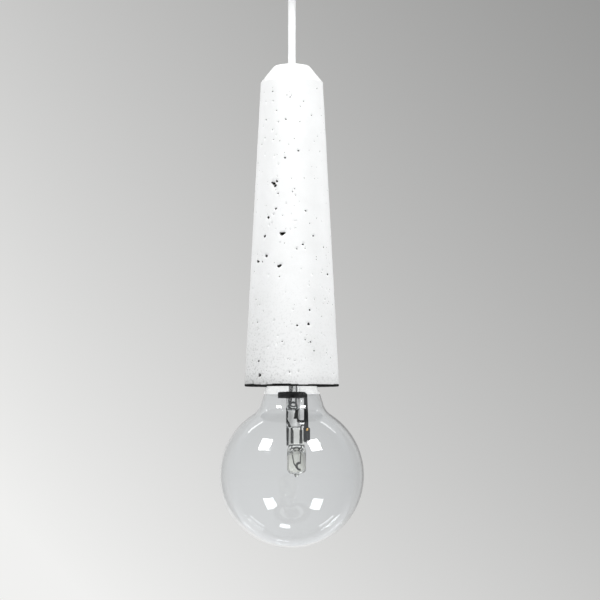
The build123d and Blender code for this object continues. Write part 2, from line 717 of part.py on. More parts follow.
export_step(lampholder_sleeve.part, "parts/lampholder_sleeve.step")

PLUNGER_R = 3.2
PLUNGER_STEM_R = 1.5
PLUNGER_FIT = 0.05
SPRING_SEAT_Z = INSERT_BOTTOM_Z + 6.0
PLUNGER_SHOULDER_Z = INSERT_BOTTOM_Z + 1.5
PLUNGER_TIP_Z = TIP_Z + 0.05
INSERT_CHAMFER = 0.8

with BuildPart() as lampholder_insert:
    revolve(band(0, INSERT_R, INSERT_BOTTOM_Z, INSERT_TOP_Z), axis=Axis.Z)
    rim = edges().filter_by(GeomType.CIRCLE).group_by(Axis.Z)[-1]
    chamfer(rim, length=INSERT_CHAMFER)
    revolve(
        band(0, PLUNGER_R + PLUNGER_FIT, INSERT_BOTTOM_Z, SPRING_SEAT_Z),
        axis=Axis.Z,
        mode=Mode.SUBTRACT,
    )
    revolve(
        band(0, PLUNGER_STEM_R + PLUNGER_FIT, SPRING_SEAT_Z, INSERT_TOP_Z),
        axis=Axis.Z,
        mode=Mode.SUBTRACT,
    )
lampholder_insert.part.label = "lampholder_insert"
export_step(lampholder_insert.part, "parts/lampholder_insert.step")

POST_X = 8.5
POST_WIDTH = 6.0
POST_DEPTH = 7.0
POST_HEIGHT = 8.0
POST_SOCKET = 3.0
CLAMP_SCREW_Z = INSERT_TOP_Z + POST_HEIGHT / 2

with BuildPart() as lampholder_terminals:
    with BuildSketch(Plane.XY.offset(INSERT_TOP_Z)):
        with Locations((-POST_X, 0), (POST_X, 0)):
            Rectangle(POST_WIDTH, POST_DEPTH)
    extrude(amount=POST_HEIGHT)
    with BuildSketch(Plane.XY.offset(INSERT_TOP_Z + POST_HEIGHT)):
        with Locations((-POST_X, 0), (POST_X, 0)):
            Circle(CORE_R + CLEARANCE)
    extrude(amount=-POST_SOCKET, mode=Mode.SUBTRACT)
    with BuildSketch(Plane.YZ):
        with Locations((0, CLAMP_SCREW_Z)):
            Circle(M3_R)
    extrude(amount=2 * POST_X, both=True, mode=Mode.SUBTRACT)
lampholder_terminals.part.label = "lampholder_terminals"
export_step(lampholder_terminals.part, "parts/lampholder_terminals.step")

CLAMP_FOOT_X = POST_X - 1.5
CLAMP_HEAD_X = POST_X + POST_WIDTH / 2
CLAMP_HEAD = 1.8
CLAMP_HEAD_R = 2.6

with BuildPart() as lampholder_terminal_screws:
    with BuildSketch(Plane.YZ.offset(CLAMP_FOOT_X)):
        with Locations((0, CLAMP_SCREW_Z)):
            Circle(M3_R)
    extrude(amount=CLAMP_HEAD_X - CLAMP_FOOT_X)
    with BuildSketch(Plane.YZ.offset(CLAMP_HEAD_X)):
        with Locations((0, CLAMP_SCREW_Z)):
            Circle(CLAMP_HEAD_R)
    extrude(amount=CLAMP_HEAD)
    with BuildSketch(Plane.YZ.offset(CLAMP_HEAD_X + CLAMP_HEAD)):
        with Locations((0, CLAMP_SCREW_Z)):
            Rectangle(2 * CLAMP_HEAD_R, DRIVER_SLOT)
    extrude(amount=-DRIVER_SLOT_DEPTH, mode=Mode.SUBTRACT)
    mirror(about=Plane.YZ)
lampholder_terminal_screws.part.label = "lampholder_terminal_screws"
export_step(lampholder_terminal_screws.part, "parts/lampholder_terminal_screws.step")

HOLDER_CORE_BEND = 1.8


def holder_core(side):
    """Conductor from the cord's end to the terminal on one side."""
    return wire_solid(
        [
            (side * CORE_OFFSET, 0, CORD_END_Z),
            (side * CORE_OFFSET, 0, CORD_END_Z - 3),
            (side * POST_X, 0, INSERT_TOP_Z + POST_HEIGHT + 4),
            (side * POST_X, 0, INSERT_TOP_Z + POST_HEIGHT - 2),
        ],
        [HOLDER_CORE_BEND, HOLDER_CORE_BEND],
        CORE_R,
    )


with BuildPart() as holder_live_core:
    add(holder_core(-1))
holder_live_core.part.label = "holder_live_core"
export_step(holder_live_core.part, "parts/holder_live_core.step")

with BuildPart() as holder_neutral_core:
    add(holder_core(1))
holder_neutral_core.part.label = "holder_neutral_core"
export_step(holder_neutral_core.part, "parts/holder_neutral_core.step")

# Strip under the insert that turns down beside the lamp cap
CONTACT_ROOT_X = 9.0
CONTACT_X = 13.6
CONTACT_SHEET = 0.4
CONTACT_FOOT_Z = CONTACT_SLOT_BOTTOM_Z + 1.0
CONTACT_HALF_WIDTH = CONTACT_SLOT_HALF_WIDTH - 0.6

with BuildPart() as side_contact:
    with BuildSketch(Plane.XZ):
        with BuildLine():
            Polyline(
                (CONTACT_ROOT_X, INSERT_BOTTOM_Z),
                (CONTACT_X + CONTACT_SHEET, INSERT_BOTTOM_Z),
                (CONTACT_X + CONTACT_SHEET, CONTACT_FOOT_Z),
                (CONTACT_X, CONTACT_FOOT_Z),
                (CONTACT_X, INSERT_BOTTOM_Z - CONTACT_SHEET),
                (CONTACT_ROOT_X, INSERT_BOTTOM_Z - CONTACT_SHEET),
                close=True,
            )
        make_face()
    extrude(amount=CONTACT_HALF_WIDTH, both=True)
side_contact.part.label = "side_contact"
export_step(side_contact.part, "parts/side_contact.step")

# ---------------------------------------------------------------- centre contact (sprung plunger)

PLUNGER_CHAMFER = 0.8
PLUNGER_HEAD_R = 2.2
PLUNGER_HEAD_Z = INSERT_TOP_Z + CLEARANCE
PLUNGER_TOP_Z = PLUNGER_HEAD_Z + 0.6

with BuildPart() as centre_contact:
    revolve(
        outline(
            [
                (0, PLUNGER_TIP_Z),
                (PLUNGER_R - PLUNGER_CHAMFER, PLUNGER_TIP_Z),
                (PLUNGER_R, PLUNGER_TIP_Z + PLUNGER_CHAMFER),
                (PLUNGER_R, PLUNGER_SHOULDER_Z),
                (PLUNGER_STEM_R, PLUNGER_SHOULDER_Z),
                (PLUNGER_STEM_R, PLUNGER_HEAD_Z),
                (PLUNGER_HEAD_R, PLUNGER_HEAD_Z),
                (PLUNGER_HEAD_R, PLUNGER_TOP_Z),
                (0, PLUNGER_TOP_Z),
            ]
        ),
        axis=Axis.Z,
    )
centre_contact.part.label = "centre_contact"
export_step(centre_contact.part, "parts/centre_contact.step")

SPRING_WIRE_R = 0.25
SPRING_R = 2.4
SPRING_TURNS = 4
SPRING_GAP = 0.02
SPRING_LOW_Z = PLUNGER_SHOULDER_Z + SPRING_WIRE_R + SPRING_GAP
SPRING_LENGTH = SPRING_SEAT_Z - SPRING_WIRE_R - SPRING_GAP - SPRING_LOW_Z

with BuildPart() as contact_spring:
    with BuildLine() as spring_route:
        Helix(
            pitch=SPRING_LENGTH / SPRING_TURNS,
            height=SPRING_LENGTH,
            radius=SPRING_R,
            center=(0, 0, SPRING_LOW_Z),
        )
    with BuildSketch(Plane(origin=spring_route.line @ 0, z_dir=spring_route.line % 0)):
        Circle(SPRING_WIRE_R)
    sweep(path=spring_route.line, is_frenet=True)
contact_spring.part.label = "contact_spring"
export_step(contact_spring.part, "parts/contact_spring.step")

# ---------------------------------------------------------------- globe lamp

SHELL_TOP_Z = TIP_Z - 4.3
SHELL_BOTTOM_Z = GLOBE_Z + 64.4
SKIRT_TOP_Z = SHELL_BOTTOM_Z + 6.2
SKIRT_R = 13.2
SHELL_HOLE_R = 10.0
CAP_PIP_R = 3.2
CAP_BASE_R = 4.8
CAP_BASE_Z = TIP_Z - 1.8
INSULATOR_BOTTOM_Z = SHELL_TOP_Z - 2.0

with BuildPart() as cap_contact:
    revolve(
        outline(
            [
                (0, TIP_Z),
                (CAP_PIP_R, TIP_Z),
                (CAP_BASE_R, TIP_Z - 1.0),
                (CAP_BASE_R, CAP_BASE_Z),
                (0, CAP_BASE_Z),
            ]
        ),
        axis=Axis.Z,
    )
cap_contact.part.label = "cap_contact"
export_step(cap_contact.part, "parts/cap_contact.step")

with BuildPart() as cap_insulator:
    revolve(
        outline(
            [
                (0, CAP_BASE_Z),
                (CAP_BASE_R + 0.2, CAP_BASE_Z),
                (SHELL_HOLE_R, SHELL_TOP_Z + 0.3),
                (SHELL_HOLE_R, INSULATOR_BOTTOM_Z),
                (0, INSULATOR_BOTTOM_Z),
            ]
        ),
        axis=Axis.Z,
    )
cap_insulator.part.label = "cap_insulator"
export_step(cap_insulator.part, "parts/cap_insulator.step")

with BuildPart() as cap_shell:
    add(thread_rod(THREAD_ROD_R, SKIRT_TOP_Z, SHELL_TOP_Z))
    revolve(band(0, SKIRT_R, SHELL_BOTTOM_Z, SKIRT_TOP_Z), axis=Axis.Z)
    add(
        thread_rod(THREAD_ROD_R - CAP_SHEET, SKIRT_TOP_Z - 1, SHELL_TOP_Z - CAP_SHEET),
        mode=Mode.SUBTRACT,
    )
    revolve(
        band(0, SKIRT_R - CAP_SHEET, SHELL_BOTTOM_Z, SKIRT_TOP_Z - CAP_SHEET),
        axis=Axis.Z,
        mode=Mode.SUBTRACT,
    )
    revolve(band(0, SHELL_HOLE_R, SHELL_TOP_Z - 1, SHELL_TOP_Z), axis=Axis.Z, mode=Mode.SUBTRACT)
cap_shell.part.label = "cap_shell"
export_step(cap_shell.part, "parts/cap_shell.step")

# Neck outline as (radius, height above the globe's centre), from inside the cap to the fillet
NECK_OUTLINE = [
    (11.9, 70.0),
    (12.0, 66.4),
    (12.5, 64.0),
    (13.7, 62.2),
    (16.6, 58.4),
    (18.7, 53.4),
    (20.2, 48.6),
]
NECK_FILLET = 12.0  # concave, between the neck and the globe
NECK_FILLET_X = 32.3
NECK_FILLET_HEIGHT = math.sqrt((GLOBE_R + NECK_FILLET) ** 2 - NECK_FILLET_X**2)


def neck_points(inset):
    """The neck's outline, moved inwards for the inner surface, in the part's own z."""
    return [(r - inset, GLOBE_Z + h) for r, h in NECK_OUTLINE]


def fillet_points(inset):
    """Middle and end of the concave arc from the neck to the globe, for one of the glass's surfaces."""
    radius = NECK_FILLET + inset
    towards_globe = math.atan2(-NECK_FILLET_HEIGHT, -NECK_FILLET_X)
    start = math.atan2(
        NECK_OUTLINE[-1][1] - NECK_FILLET_HEIGHT,
        NECK_OUTLINE[-1][0] - inset - NECK_FILLET_X,
    )
    if start > 0:
        start -= 2 * math.pi
    return [
        (NECK_FILLET_X + radius * math.cos(a), GLOBE_Z + NECK_FILLET_HEIGHT + radius * math.sin(a))
        for a in ((start + towards_globe) / 2, towards_globe)
    ]


with BuildPart() as glass_globe:
    with BuildSketch(Plane.XZ):
        with BuildLine():
            outer = neck_points(0)
            outer_mid, outer_end = fillet_points(0)
            inner = neck_points(GLASS)
            inner_mid, inner_end = fillet_points(GLASS)
            diagonal = math.sqrt(0.5)
            bore_r = GLOBE_R - GLASS
            Spline(*outer)
            ThreePointArc(outer[-1], outer_mid, outer_end)
            ThreePointArc(
                outer_end,
                (GLOBE_R * diagonal, GLOBE_Z - GLOBE_R * diagonal),
                (0, GLOBE_Z - GLOBE_R),
            )
            Line((0, GLOBE_Z - GLOBE_R), (0, GLOBE_Z - bore_r))
            ThreePointArc(
                (0, GLOBE_Z - bore_r),
                (bore_r * diagonal, GLOBE_Z - bore_r * diagonal),
                inner_end,
            )
            ThreePointArc(inner_end, inner_mid, inner[-1])
            Spline(*inner)
            Line(inner[0], outer[0])
        make_face()
    revolve(axis=Axis.Z)
glass_globe.part.label = "glass_globe"
export_step(glass_globe.part, "parts/glass_globe.step")

# White coat on the inside of the neck, from beside the cap down to just below the concrete
COAT = 0.3
COAT_INSET = GLASS + 0.35

with BuildPart() as neck_coat:
    with BuildSketch(Plane.XZ):
        with BuildLine():
            coat_outer = [(r - COAT_INSET, GLOBE_Z + h) for r, h in NECK_OUTLINE[3:6]]
            coat_inner = [(r - COAT, z) for r, z in coat_outer]
            Spline(*coat_outer)
            Line(coat_outer[-1], coat_inner[-1])
            Spline(*coat_inner)
            Line(coat_inner[0], coat_outer[0])
        make_face()
    revolve(axis=Axis.Z)
neck_coat.part.label = "neck_coat"
export_step(neck_coat.part, "parts/neck_coat.step")

STEM_R = 4.6
STEM_BORE_R = 3.4
STEM_BOTTOM_Z = PINCH_TOP_Z + 0.4
STEM_TOP_Z = GLOBE_Z + 66.0
FLARE_R = 10.6
FLARE_WALL = 1.8
STEM_SHOULDER_Z = STEM_TOP_Z - 4.0
STEM_STRAIGHT_Z = STEM_TOP_Z - 9.0
LEAD_R = 0.35
LEAD_TOP_Z = STEM_TOP_Z + 8.0  # inside the cap
LEFT_LEAD_X = -1.6
RIGHT_LEAD_X = 1.8
PIN_END_Z = PINCH_TOP_Z - 1.2  # inside the pinch
STRAP_X = 9.5
STRAP_HALF_WIDTH = 1.5
STRAP_TOP_Z = CONCRETE_BOTTOM_Z - 7.6
STRAP_BOTTOM_Z = CONCRETE_BOTTOM_Z - 28.7
STUB_Z = CONCRETE_BOTTOM_Z - 24.5
LEFT_PIN_X = CAPSULE_X - FOIL_OFFSET
RIGHT_PIN_X = CAPSULE_X + FOIL_OFFSET

with BuildPart() as lead_wire_left:
    add(
        wire_solid(
            [
                (LEFT_LEAD_X, 0, LEAD_TOP_Z),
                (LEFT_LEAD_X, 0, STEM_TOP_Z - 8),
                (-2.6, 0, STEM_TOP_Z - 17),
                (-1.4, 0, STEM_TOP_Z - 24),
                (LEFT_PIN_X - 0.8, 0, STEM_BOTTOM_Z + 4),
                (LEFT_PIN_X, 0, STEM_BOTTOM_Z),
                (LEFT_PIN_X, 0, PIN_END_Z),
            ],
            [6.0, 6.0, 4.0, 3.0, 0.7],
            LEAD_R,
        )
    )
lead_wire_left.part.label = "lead_wire_left"
export_step(lead_wire_left.part, "parts/lead_wire_left.step")

with BuildPart() as lead_wire_right:
    add(
        wire_solid(
            [
                (RIGHT_LEAD_X, 0, LEAD_TOP_Z),
                (RIGHT_LEAD_X, 0, STUB_Z),
                (STRAP_X - STRAP_HALF_WIDTH, 0, STUB_Z),
            ],
            [1.2],
            LEAD_R,
        )
    )
lead_wire_right.part.label = "lead_wire_right"
export_step(lead_wire_right.part, "parts/lead_wire_right.step")

with BuildPart() as stem_glass:
    revolve(
        outline(
            [
                (0, STEM_BOTTOM_Z),
                (STEM_R - 1.0, STEM_BOTTOM_Z),
                (STEM_R, STEM_BOTTOM_Z + 1.0),
                (STEM_R, STEM_STRAIGHT_Z),
                (STEM_R + 1.4, STEM_SHOULDER_Z),
                (FLARE_R, STEM_TOP_Z),
                (FLARE_R - FLARE_WALL, STEM_TOP_Z),
                (STEM_BORE_R + 0.8, STEM_SHOULDER_Z),
                (STEM_BORE_R, STEM_STRAIGHT_Z),
                (STEM_BORE_R, STEM_BOTTOM_Z + 6),
                (0, STEM_BOTTOM_Z + 5),
            ]
        ),
        axis=Axis.Z,
    )
    add(lead_wire_left.part, mode=Mode.SUBTRACT)
    add(lead_wire_right.part, mode=Mode.SUBTRACT)
stem_glass.part.label = "stem_glass"
export_step(stem_glass.part, "parts/stem_glass.step")

SHIELD_R = 9.2
SHIELD_TOP_Z = CONCRETE_BOTTOM_Z - 5.0
SHIELD_HEIGHT = 3.6
SHIELD_SHEET = 0.4
SHIELD_BORE_R = STEM_R + 0.05
SHIELD_BOTTOM_Z = SHIELD_TOP_Z - SHIELD_HEIGHT

with BuildPart() as heat_shield:
    revolve(
        outline(
            [
                (SHIELD_BORE_R, SHIELD_TOP_Z),
                (SHIELD_R, SHIELD_TOP_Z),
                (SHIELD_R, SHIELD_BOTTOM_Z),
                (SHIELD_R - SHIELD_SHEET, SHIELD_BOTTOM_Z),
                (SHIELD_R - SHIELD_SHEET, SHIELD_TOP_Z - SHIELD_SHEET),
                (SHIELD_BORE_R, SHIELD_TOP_Z - SHIELD_SHEET),
            ]
        ),
        axis=Axis.Z,
    )
heat_shield.part.label = "heat_shield"
export_step(heat_shield.part, "parts/heat_shield.step")

STRAP_SHEET = 0.5
STRAP_NOTCH_X = SHIELD_R + 0.02  # the strap's head is cut away for the shield's rim
STRAP_NOTCH_Z = SHIELD_BOTTOM_Z - 0.4

with BuildPart() as support_strap:
    with BuildSketch(Plane.XZ):
        with BuildLine():
            Polyline(
                (STRAP_X - STRAP_HALF_WIDTH, STRAP_BOTTOM_Z),
                (STRAP_X + STRAP_HALF_WIDTH, STRAP_BOTTOM_Z),
                (STRAP_X + STRAP_HALF_WIDTH, STRAP_TOP_Z),
                (STRAP_NOTCH_X, STRAP_TOP_Z),
                (STRAP_NOTCH_X, STRAP_NOTCH_Z),
                (STRAP_X - STRAP_HALF_WIDTH, STRAP_NOTCH_Z),
                close=True,
            )
        make_face()
    extrude(amount=STRAP_SHEET / 2, both=True)
    add(lead_wire_right.part, mode=Mode.SUBTRACT)
support_strap.part.label = "support_strap"
export_step(support_strap.part, "parts/support_strap.step")

CLAMP_LEFT_X = STRAP_X - 1.35
CLAMP_RIGHT_X = STRAP_X + 3.25
CLAMP_BOTTOM_Z = STRAP_BOTTOM_Z - 8.6
CLAMP_CORNER = 1.5
CLAMP_HALF_DEPTH = 0.8

with BuildPart() as clamp_block:
    with BuildSketch(Plane.XZ):
        with BuildLine():
            Polyline(
                (CLAMP_LEFT_X, STRAP_BOTTOM_Z),
                (CLAMP_RIGHT_X, STRAP_BOTTOM_Z),
                (CLAMP_RIGHT_X, CLAMP_BOTTOM_Z + CLAMP_CORNER),
                (CLAMP_RIGHT_X - CLAMP_CORNER, CLAMP_BOTTOM_Z),
                (CLAMP_LEFT_X, CLAMP_BOTTOM_Z),
                close=True,
            )
        make_face()
    extrude(amount=CLAMP_HALF_DEPTH, both=True)
clamp_block.part.label = "clamp_block"
export_step(clamp_block.part, "parts/clamp_block.step")

WELD_R = 0.9
WELD_X = STRAP_X + 0.6
WELD_Z = STRAP_BOTTOM_Z - 1.0

# Half ball on the clamp block's front face
with BuildPart() as weld_bead:
    with Locations((WELD_X, -CLAMP_HALF_DEPTH, WELD_Z)):
        Sphere(WELD_R)
    with BuildSketch(Plane.XZ.offset(CLAMP_HALF_DEPTH)):
        with Locations((WELD_X, WELD_Z)):
            Circle(2 * WELD_R)
    extrude(amount=-2 * WELD_R, mode=Mode.SUBTRACT)
weld_bead.part.label = "weld_bead"
export_step(weld_bead.part, "parts/weld_bead.step")

PIN_BRIDGE_Z = PINCH_TOP_Z + 2.2
PIN_BEND = 0.9

# The right-hand pin of the capsule, bent across to the strap's foot
with BuildPart() as capsule_pin:
    add(
        wire_solid(
            [
                (RIGHT_PIN_X, 0, PIN_END_Z),
                (RIGHT_PIN_X, 0, PIN_BRIDGE_Z),
                (STRAP_X - STRAP_HALF_WIDTH, 0, PIN_BRIDGE_Z),
            ],
            [PIN_BEND],
            LEAD_R,
        )
    )
capsule_pin.part.label = "capsule_pin"
export_step(capsule_pin.part, "parts/capsule_pin.step")

PINCH_HALF_WIDTH = 5.0
PINCH_HALF_DEPTH = 1.6

# Bar that clasps the pinch on the side away from the strap
CLIP_THICKNESS = 1.2
CLIP_HALF_DEPTH = 1.0
CLIP_CORNER = 0.5
CLIP_BOTTOM_Z = PINCH_BOTTOM_Z + 0.3

with BuildPart() as pinch_clip:
    with BuildSketch(Plane.XY.offset(CLIP_BOTTOM_Z)):
        with Locations((CAPSULE_X - PINCH_HALF_WIDTH - CLIP_THICKNESS / 2, 0)):
            Rectangle(CLIP_THICKNESS, 2 * CLIP_HALF_DEPTH)
    extrude(amount=PINCH_TOP_Z - CLIP_BOTTOM_Z)
    corners = edges().filter_by(Axis.Y).group_by(Axis.X)[0]
    fillet(corners, radius=CLIP_CORNER)
pinch_clip.part.label = "pinch_clip"
export_step(pinch_clip.part, "parts/pinch_clip.step")

FOIL_TOP_Z = PIN_END_Z
FOIL_BOTTOM_Z = PINCH_BOTTOM_Z + 1.5
FOIL_HALF_WIDTH = 0.9
FOIL_THICKNESS = 0.3
FILAMENT_Z = CAPSULE_END_Z + 6.2
FILAMENT_HALF_SPAN = 1.8
LEG_R = 0.22
COIL_R = 0.62
COIL_WIRE_R = 0.126
COIL_TURNS = 9
COIL_GAP = 0.15  # left free beside each leg
COIL_LENGTH = 2 * (FILAMENT_HALF_SPAN - LEG_R - COIL_WIRE_R - COIL_GAP / 2)

with BuildPart() as pinch_foils:
    with BuildSketch(Plane.XY.offset(FOIL_BOTTOM_Z)):
        with Locations((LEFT_PIN_X, 0), (RIGHT_PIN_X, 0)):
            Rectangle(2 * FOIL_HALF_WIDTH, FOIL_THICKNESS)
    extrude(amount=FOIL_TOP_Z - FOIL_BOTTOM_Z)
pinch_foils.part.label = "pinch_foils"
export_step(pinch_foils.part, "parts/pinch_foils.step")

with BuildPart() as filament_legs:
    for side in (-1, 1):
        add(
            wire_solid(
                [
                    (CAPSULE_X + side * FOIL_OFFSET, 0, FOIL_BOTTOM_Z),
                    (CAPSULE_X + side * FOIL_OFFSET, 0, PINCH_BOTTOM_Z - 2.5),
                    (CAPSULE_X + side * FILAMENT_HALF_SPAN, 0, FILAMENT_Z + 1.5),
                    (CAPSULE_X + side * FILAMENT_HALF_SPAN, 0, FILAMENT_Z),
                ],
                [2.0, 1.0],
                LEG_R,
            )
        )
filament_legs.part.label = "filament_legs"
export_step(filament_legs.part, "parts/filament_legs.step")

# The coil lies across the capsule between the two legs
with BuildPart() as filament:
    with BuildLine() as coil_route:
        Helix(
            pitch=COIL_LENGTH / COIL_TURNS,
            height=COIL_LENGTH,
            radius=COIL_R,
            center=(CAPSULE_X - COIL_LENGTH / 2, 0, FILAMENT_Z),
            direction=(1, 0, 0),
        )
    with BuildSketch(Plane(origin=coil_route.line @ 0, z_dir=coil_route.line % 0)):
        Circle(COIL_WIRE_R)
    sweep(path=coil_route.line, is_frenet=True)
filament.part.label = "filament"
export_step(filament.part, "parts/filament.step")

CAPSULE_DOME_Z = CAPSULE_END_Z + CAPSULE_R / 2  # lowest point of the tube's outside, above the knob
CAPSULE_FLOOR_Z = CAPSULE_DOME_Z + CAPSULE_WALL
CAPSULE_CEILING_Z = PINCH_BOTTOM_Z - 2.0
CAPSULE_BORE_R = CAPSULE_R - CAPSULE_WALL
PINCH_ROOT = 1.5  # the pinch runs on into the tube
KNOB_R = 1.8

with BuildPart() as capsule_glass:
    with Locations((CAPSULE_X, 0, (PINCH_BOTTOM_Z + CAPSULE_DOME_Z) / 2)):
        Cylinder(CAPSULE_R, PINCH_BOTTOM_Z - CAPSULE_DOME_Z)
    ends = edges().filter_by(GeomType.CIRCLE)
    fillet(ends.sort_by(Axis.Z)[0], radius=5.4)
    fillet(edges().filter_by(GeomType.CIRCLE).sort_by(Axis.Z)[-1], radius=3.0)
    with BuildSketch(Plane.XY.offset(PINCH_BOTTOM_Z - PINCH_ROOT)):
        with Locations((CAPSULE_X, 0)):
            RectangleRounded(2 * PINCH_HALF_WIDTH, 2 * PINCH_HALF_DEPTH, 1.2)
    extrude(amount=PINCH_TOP_Z - PINCH_BOTTOM_Z + PINCH_ROOT)
    with BuildSketch(Plane(origin=(CAPSULE_X, 0, 0), x_dir=(1, 0, 0), z_dir=(0, -1, 0))):
        with BuildLine():
            FilletPolyline(
                (0, CAPSULE_CEILING_Z),
                (CAPSULE_BORE_R, CAPSULE_CEILING_Z),
                (CAPSULE_BORE_R, CAPSULE_FLOOR_Z),
                (0, CAPSULE_FLOOR_Z),
                radius=[0, 2.4, 4.4, 0],
                close=True,
            )
        make_face()
    revolve(axis=Axis(origin=(CAPSULE_X, 0, 0), direction=(0, 0, 1)), mode=Mode.SUBTRACT)
    # Seal-off knob at the end of the tube, kept out of the bore
    with Locations((CAPSULE_X, 0, CAPSULE_DOME_Z - KNOB_R / 2)):
        Sphere(KNOB_R)
    with Locations((CAPSULE_X, 0, CAPSULE_FLOOR_Z + 1.0)):
        Cylinder(KNOB_R + CLEARANCE, 2.0, mode=Mode.SUBTRACT)
    # The metal sealed into the pinch
    for sealed in (pinch_foils, filament_legs, lead_wire_left, capsule_pin):
        add(sealed.part, mode=Mode.SUBTRACT)
capsule_glass.part.label = "capsule_glass"
export_step(capsule_glass.part, "parts/capsule_glass.step")

print("cord length", PIVOT_Z - CORD_END_Z, "straight, no bends")
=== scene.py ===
"""Pendant ceiling light: its looks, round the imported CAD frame. Metres, +Z up, origin at the ceiling."""

import math
import random

import bmesh
import bpy
from mathutils import Matrix, Vector, noise
from mathutils.geometry import delaunay_2d_cdt


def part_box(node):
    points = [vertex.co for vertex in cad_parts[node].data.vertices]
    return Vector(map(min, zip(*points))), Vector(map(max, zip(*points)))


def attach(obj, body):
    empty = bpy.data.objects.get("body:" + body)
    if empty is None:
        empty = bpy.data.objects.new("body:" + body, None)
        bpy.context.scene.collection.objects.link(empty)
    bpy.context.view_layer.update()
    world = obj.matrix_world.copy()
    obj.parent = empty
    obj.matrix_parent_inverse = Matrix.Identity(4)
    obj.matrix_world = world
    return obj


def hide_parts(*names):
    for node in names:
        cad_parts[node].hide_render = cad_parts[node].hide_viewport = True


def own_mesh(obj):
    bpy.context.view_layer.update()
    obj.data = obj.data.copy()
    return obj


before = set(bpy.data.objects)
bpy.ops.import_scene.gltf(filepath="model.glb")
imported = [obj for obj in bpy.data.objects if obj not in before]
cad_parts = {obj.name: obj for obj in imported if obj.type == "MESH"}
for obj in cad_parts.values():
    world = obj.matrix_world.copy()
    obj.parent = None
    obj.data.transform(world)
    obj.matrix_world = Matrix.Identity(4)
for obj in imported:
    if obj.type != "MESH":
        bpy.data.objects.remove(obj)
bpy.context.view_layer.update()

MM = 0.001
noise.seed_set(4)  # noise_vector is otherwise seeded from the clock
scene = bpy.context.scene
scene.view_settings.view_transform = "Standard"
scene.view_settings.look = "None"

# ---- places read from the frame

PIVOT_Z = -38.0 * MM  # swing pivot in the mouth of the canopy's cord grip
CORD_R = 2.5 * MM
CORD_END_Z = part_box("cord")[0].z
CONCRETE_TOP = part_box("concrete_body")[1].z
FOOT_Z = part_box("concrete_body")[0].z  # the concrete's lower rim
GLOBE_R = 47.5 * MM
GLOBE_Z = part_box("glass_globe")[0].z + GLOBE_R
LAMP = "lamp"

# ---- camera

CAMERA_DISTANCE = 1.4
CAMERA_X = 5.4 * MM  # the light hangs a little left of the picture's middle
CAMERA_Z = FOOT_Z - 24 * MM
AIM_Z = FOOT_Z + 55.8 * MM
VIEW_WIDTH = 396 * MM  # what the frame spans at the light's distance
SENSOR = 36.0

camera_data = bpy.data.cameras.new("camera")
camera_data.sensor_width = SENSOR
camera_data.lens = SENSOR * CAMERA_DISTANCE / VIEW_WIDTH
camera = bpy.data.objects.new("camera", camera_data)
camera.location = (CAMERA_X, -CAMERA_DISTANCE, CAMERA_Z)
camera.rotation_euler = (math.pi / 2 + math.atan2(AIM_Z - CAMERA_Z, CAMERA_DISTANCE), 0, 0)
scene.collection.objects.link(camera)
scene.camera = camera

# ---- material helpers
# mat is the material, or the world, whose node tree is added to


def feed(mat, node, sockets):
    """Fills a node's sockets, each from another socket or with a plain value; a colour needs no alpha."""
    for key, value in sockets.items():
        socket = node.inputs[key]
        if isinstance(value, bpy.types.NodeSocket):
            mat.node_tree.links.new(value, socket)
        else:
            socket.default_value = (*value, 1.0) if socket.type == "RGBA" else value


def new_material(name, **inputs):
    """A material and its Principled node, with plain values set on the node's own sockets."""
    mat = bpy.data.materials.new(name)
    mat.use_nodes = True
    shader = mat.node_tree.nodes["Principled BSDF"]
    feed(mat, shader, {key.replace("_", " "): value for key, value in inputs.items()})
    return mat, shader


def add_node(mat, kind, sockets=None, **settings):
    made = mat.node_tree.nodes.new(kind)
    for key, value in settings.items():
        setattr(made, key, value)
    feed(mat, made, sockets or {})
    return made


def place(mat, stretch=(1, 1, 1)):
    """Object coordinates, stretched along an axis to draw the grain out."""
    where = add_node(mat, "ShaderNodeTexCoord").outputs["Object"]
    return add_node(mat, "ShaderNodeMapping", {"Vector": where, "Scale": stretch}).outputs["Vector"]


def grain(mat, scale, detail=3.0, rough=0.5, stretch=(1, 1, 1)):
    """Noise between 0 and 1 with that many waves to the metre."""
    sockets = {"Vector": place(mat, stretch), "Scale": scale, "Detail": detail, "Roughness": rough}
    return add_node(mat, "ShaderNodeTexNoise", sockets).outputs["Fac"]


def remap(mat, value, low, high, to_low=0.0, to_high=1.0):
    sockets = {"Value": value, "From Min": low, "From Max": high, "To Min": to_low, "To Max": to_high}
    return add_node(mat, "ShaderNodeMapRange", sockets).outputs["Result"]


def spread(mat, value, to_low=0.0, to_high=1.0):
    """Stretches the usual 0.3 to 0.7 of a noise over a range."""
    return remap(mat, value, 0.3, 0.7, to_low, to_high)


def maths(mat, operation, a, b=0.0):
    return add_node(mat, "ShaderNodeMath", {0: a, 1: b}, operation=operation).outputs["Value"]


def times(mat, a, b):
    return maths(mat, "MULTIPLY", a, b)


def plus(mat, a, b):
    return maths(mat, "ADD", a, b)


def axes_of(mat, vector):
    """The X, Y and Z outputs of a vector."""
    return tuple(add_node(mat, "ShaderNodeSeparateXYZ", {"Vector": vector}).outputs)


def blend_colours(mat, factor, first, second):
    """Mix of two colours; either may be a socket or a plain (r, g, b)."""
    made = add_node(mat, "ShaderNodeMix", {"Factor": factor}, data_type="RGBA")
    ends = [i for i, socket in enumerate(made.inputs) if socket.type == "RGBA"]
    feed(mat, made, dict(zip(ends, (first, second))))
    return next(socket for socket in made.outputs if socket.type == "RGBA")


def show(mat, surface):
    feed(mat, mat.node_tree.nodes["Material Output"], {"Surface": surface})


def bumped(mat, shader, height, distance):
    bump = add_node(mat, "ShaderNodeBump", {"Height": height, "Distance": distance})
    feed(mat, shader, {"Normal": bump.outputs["Normal"]})


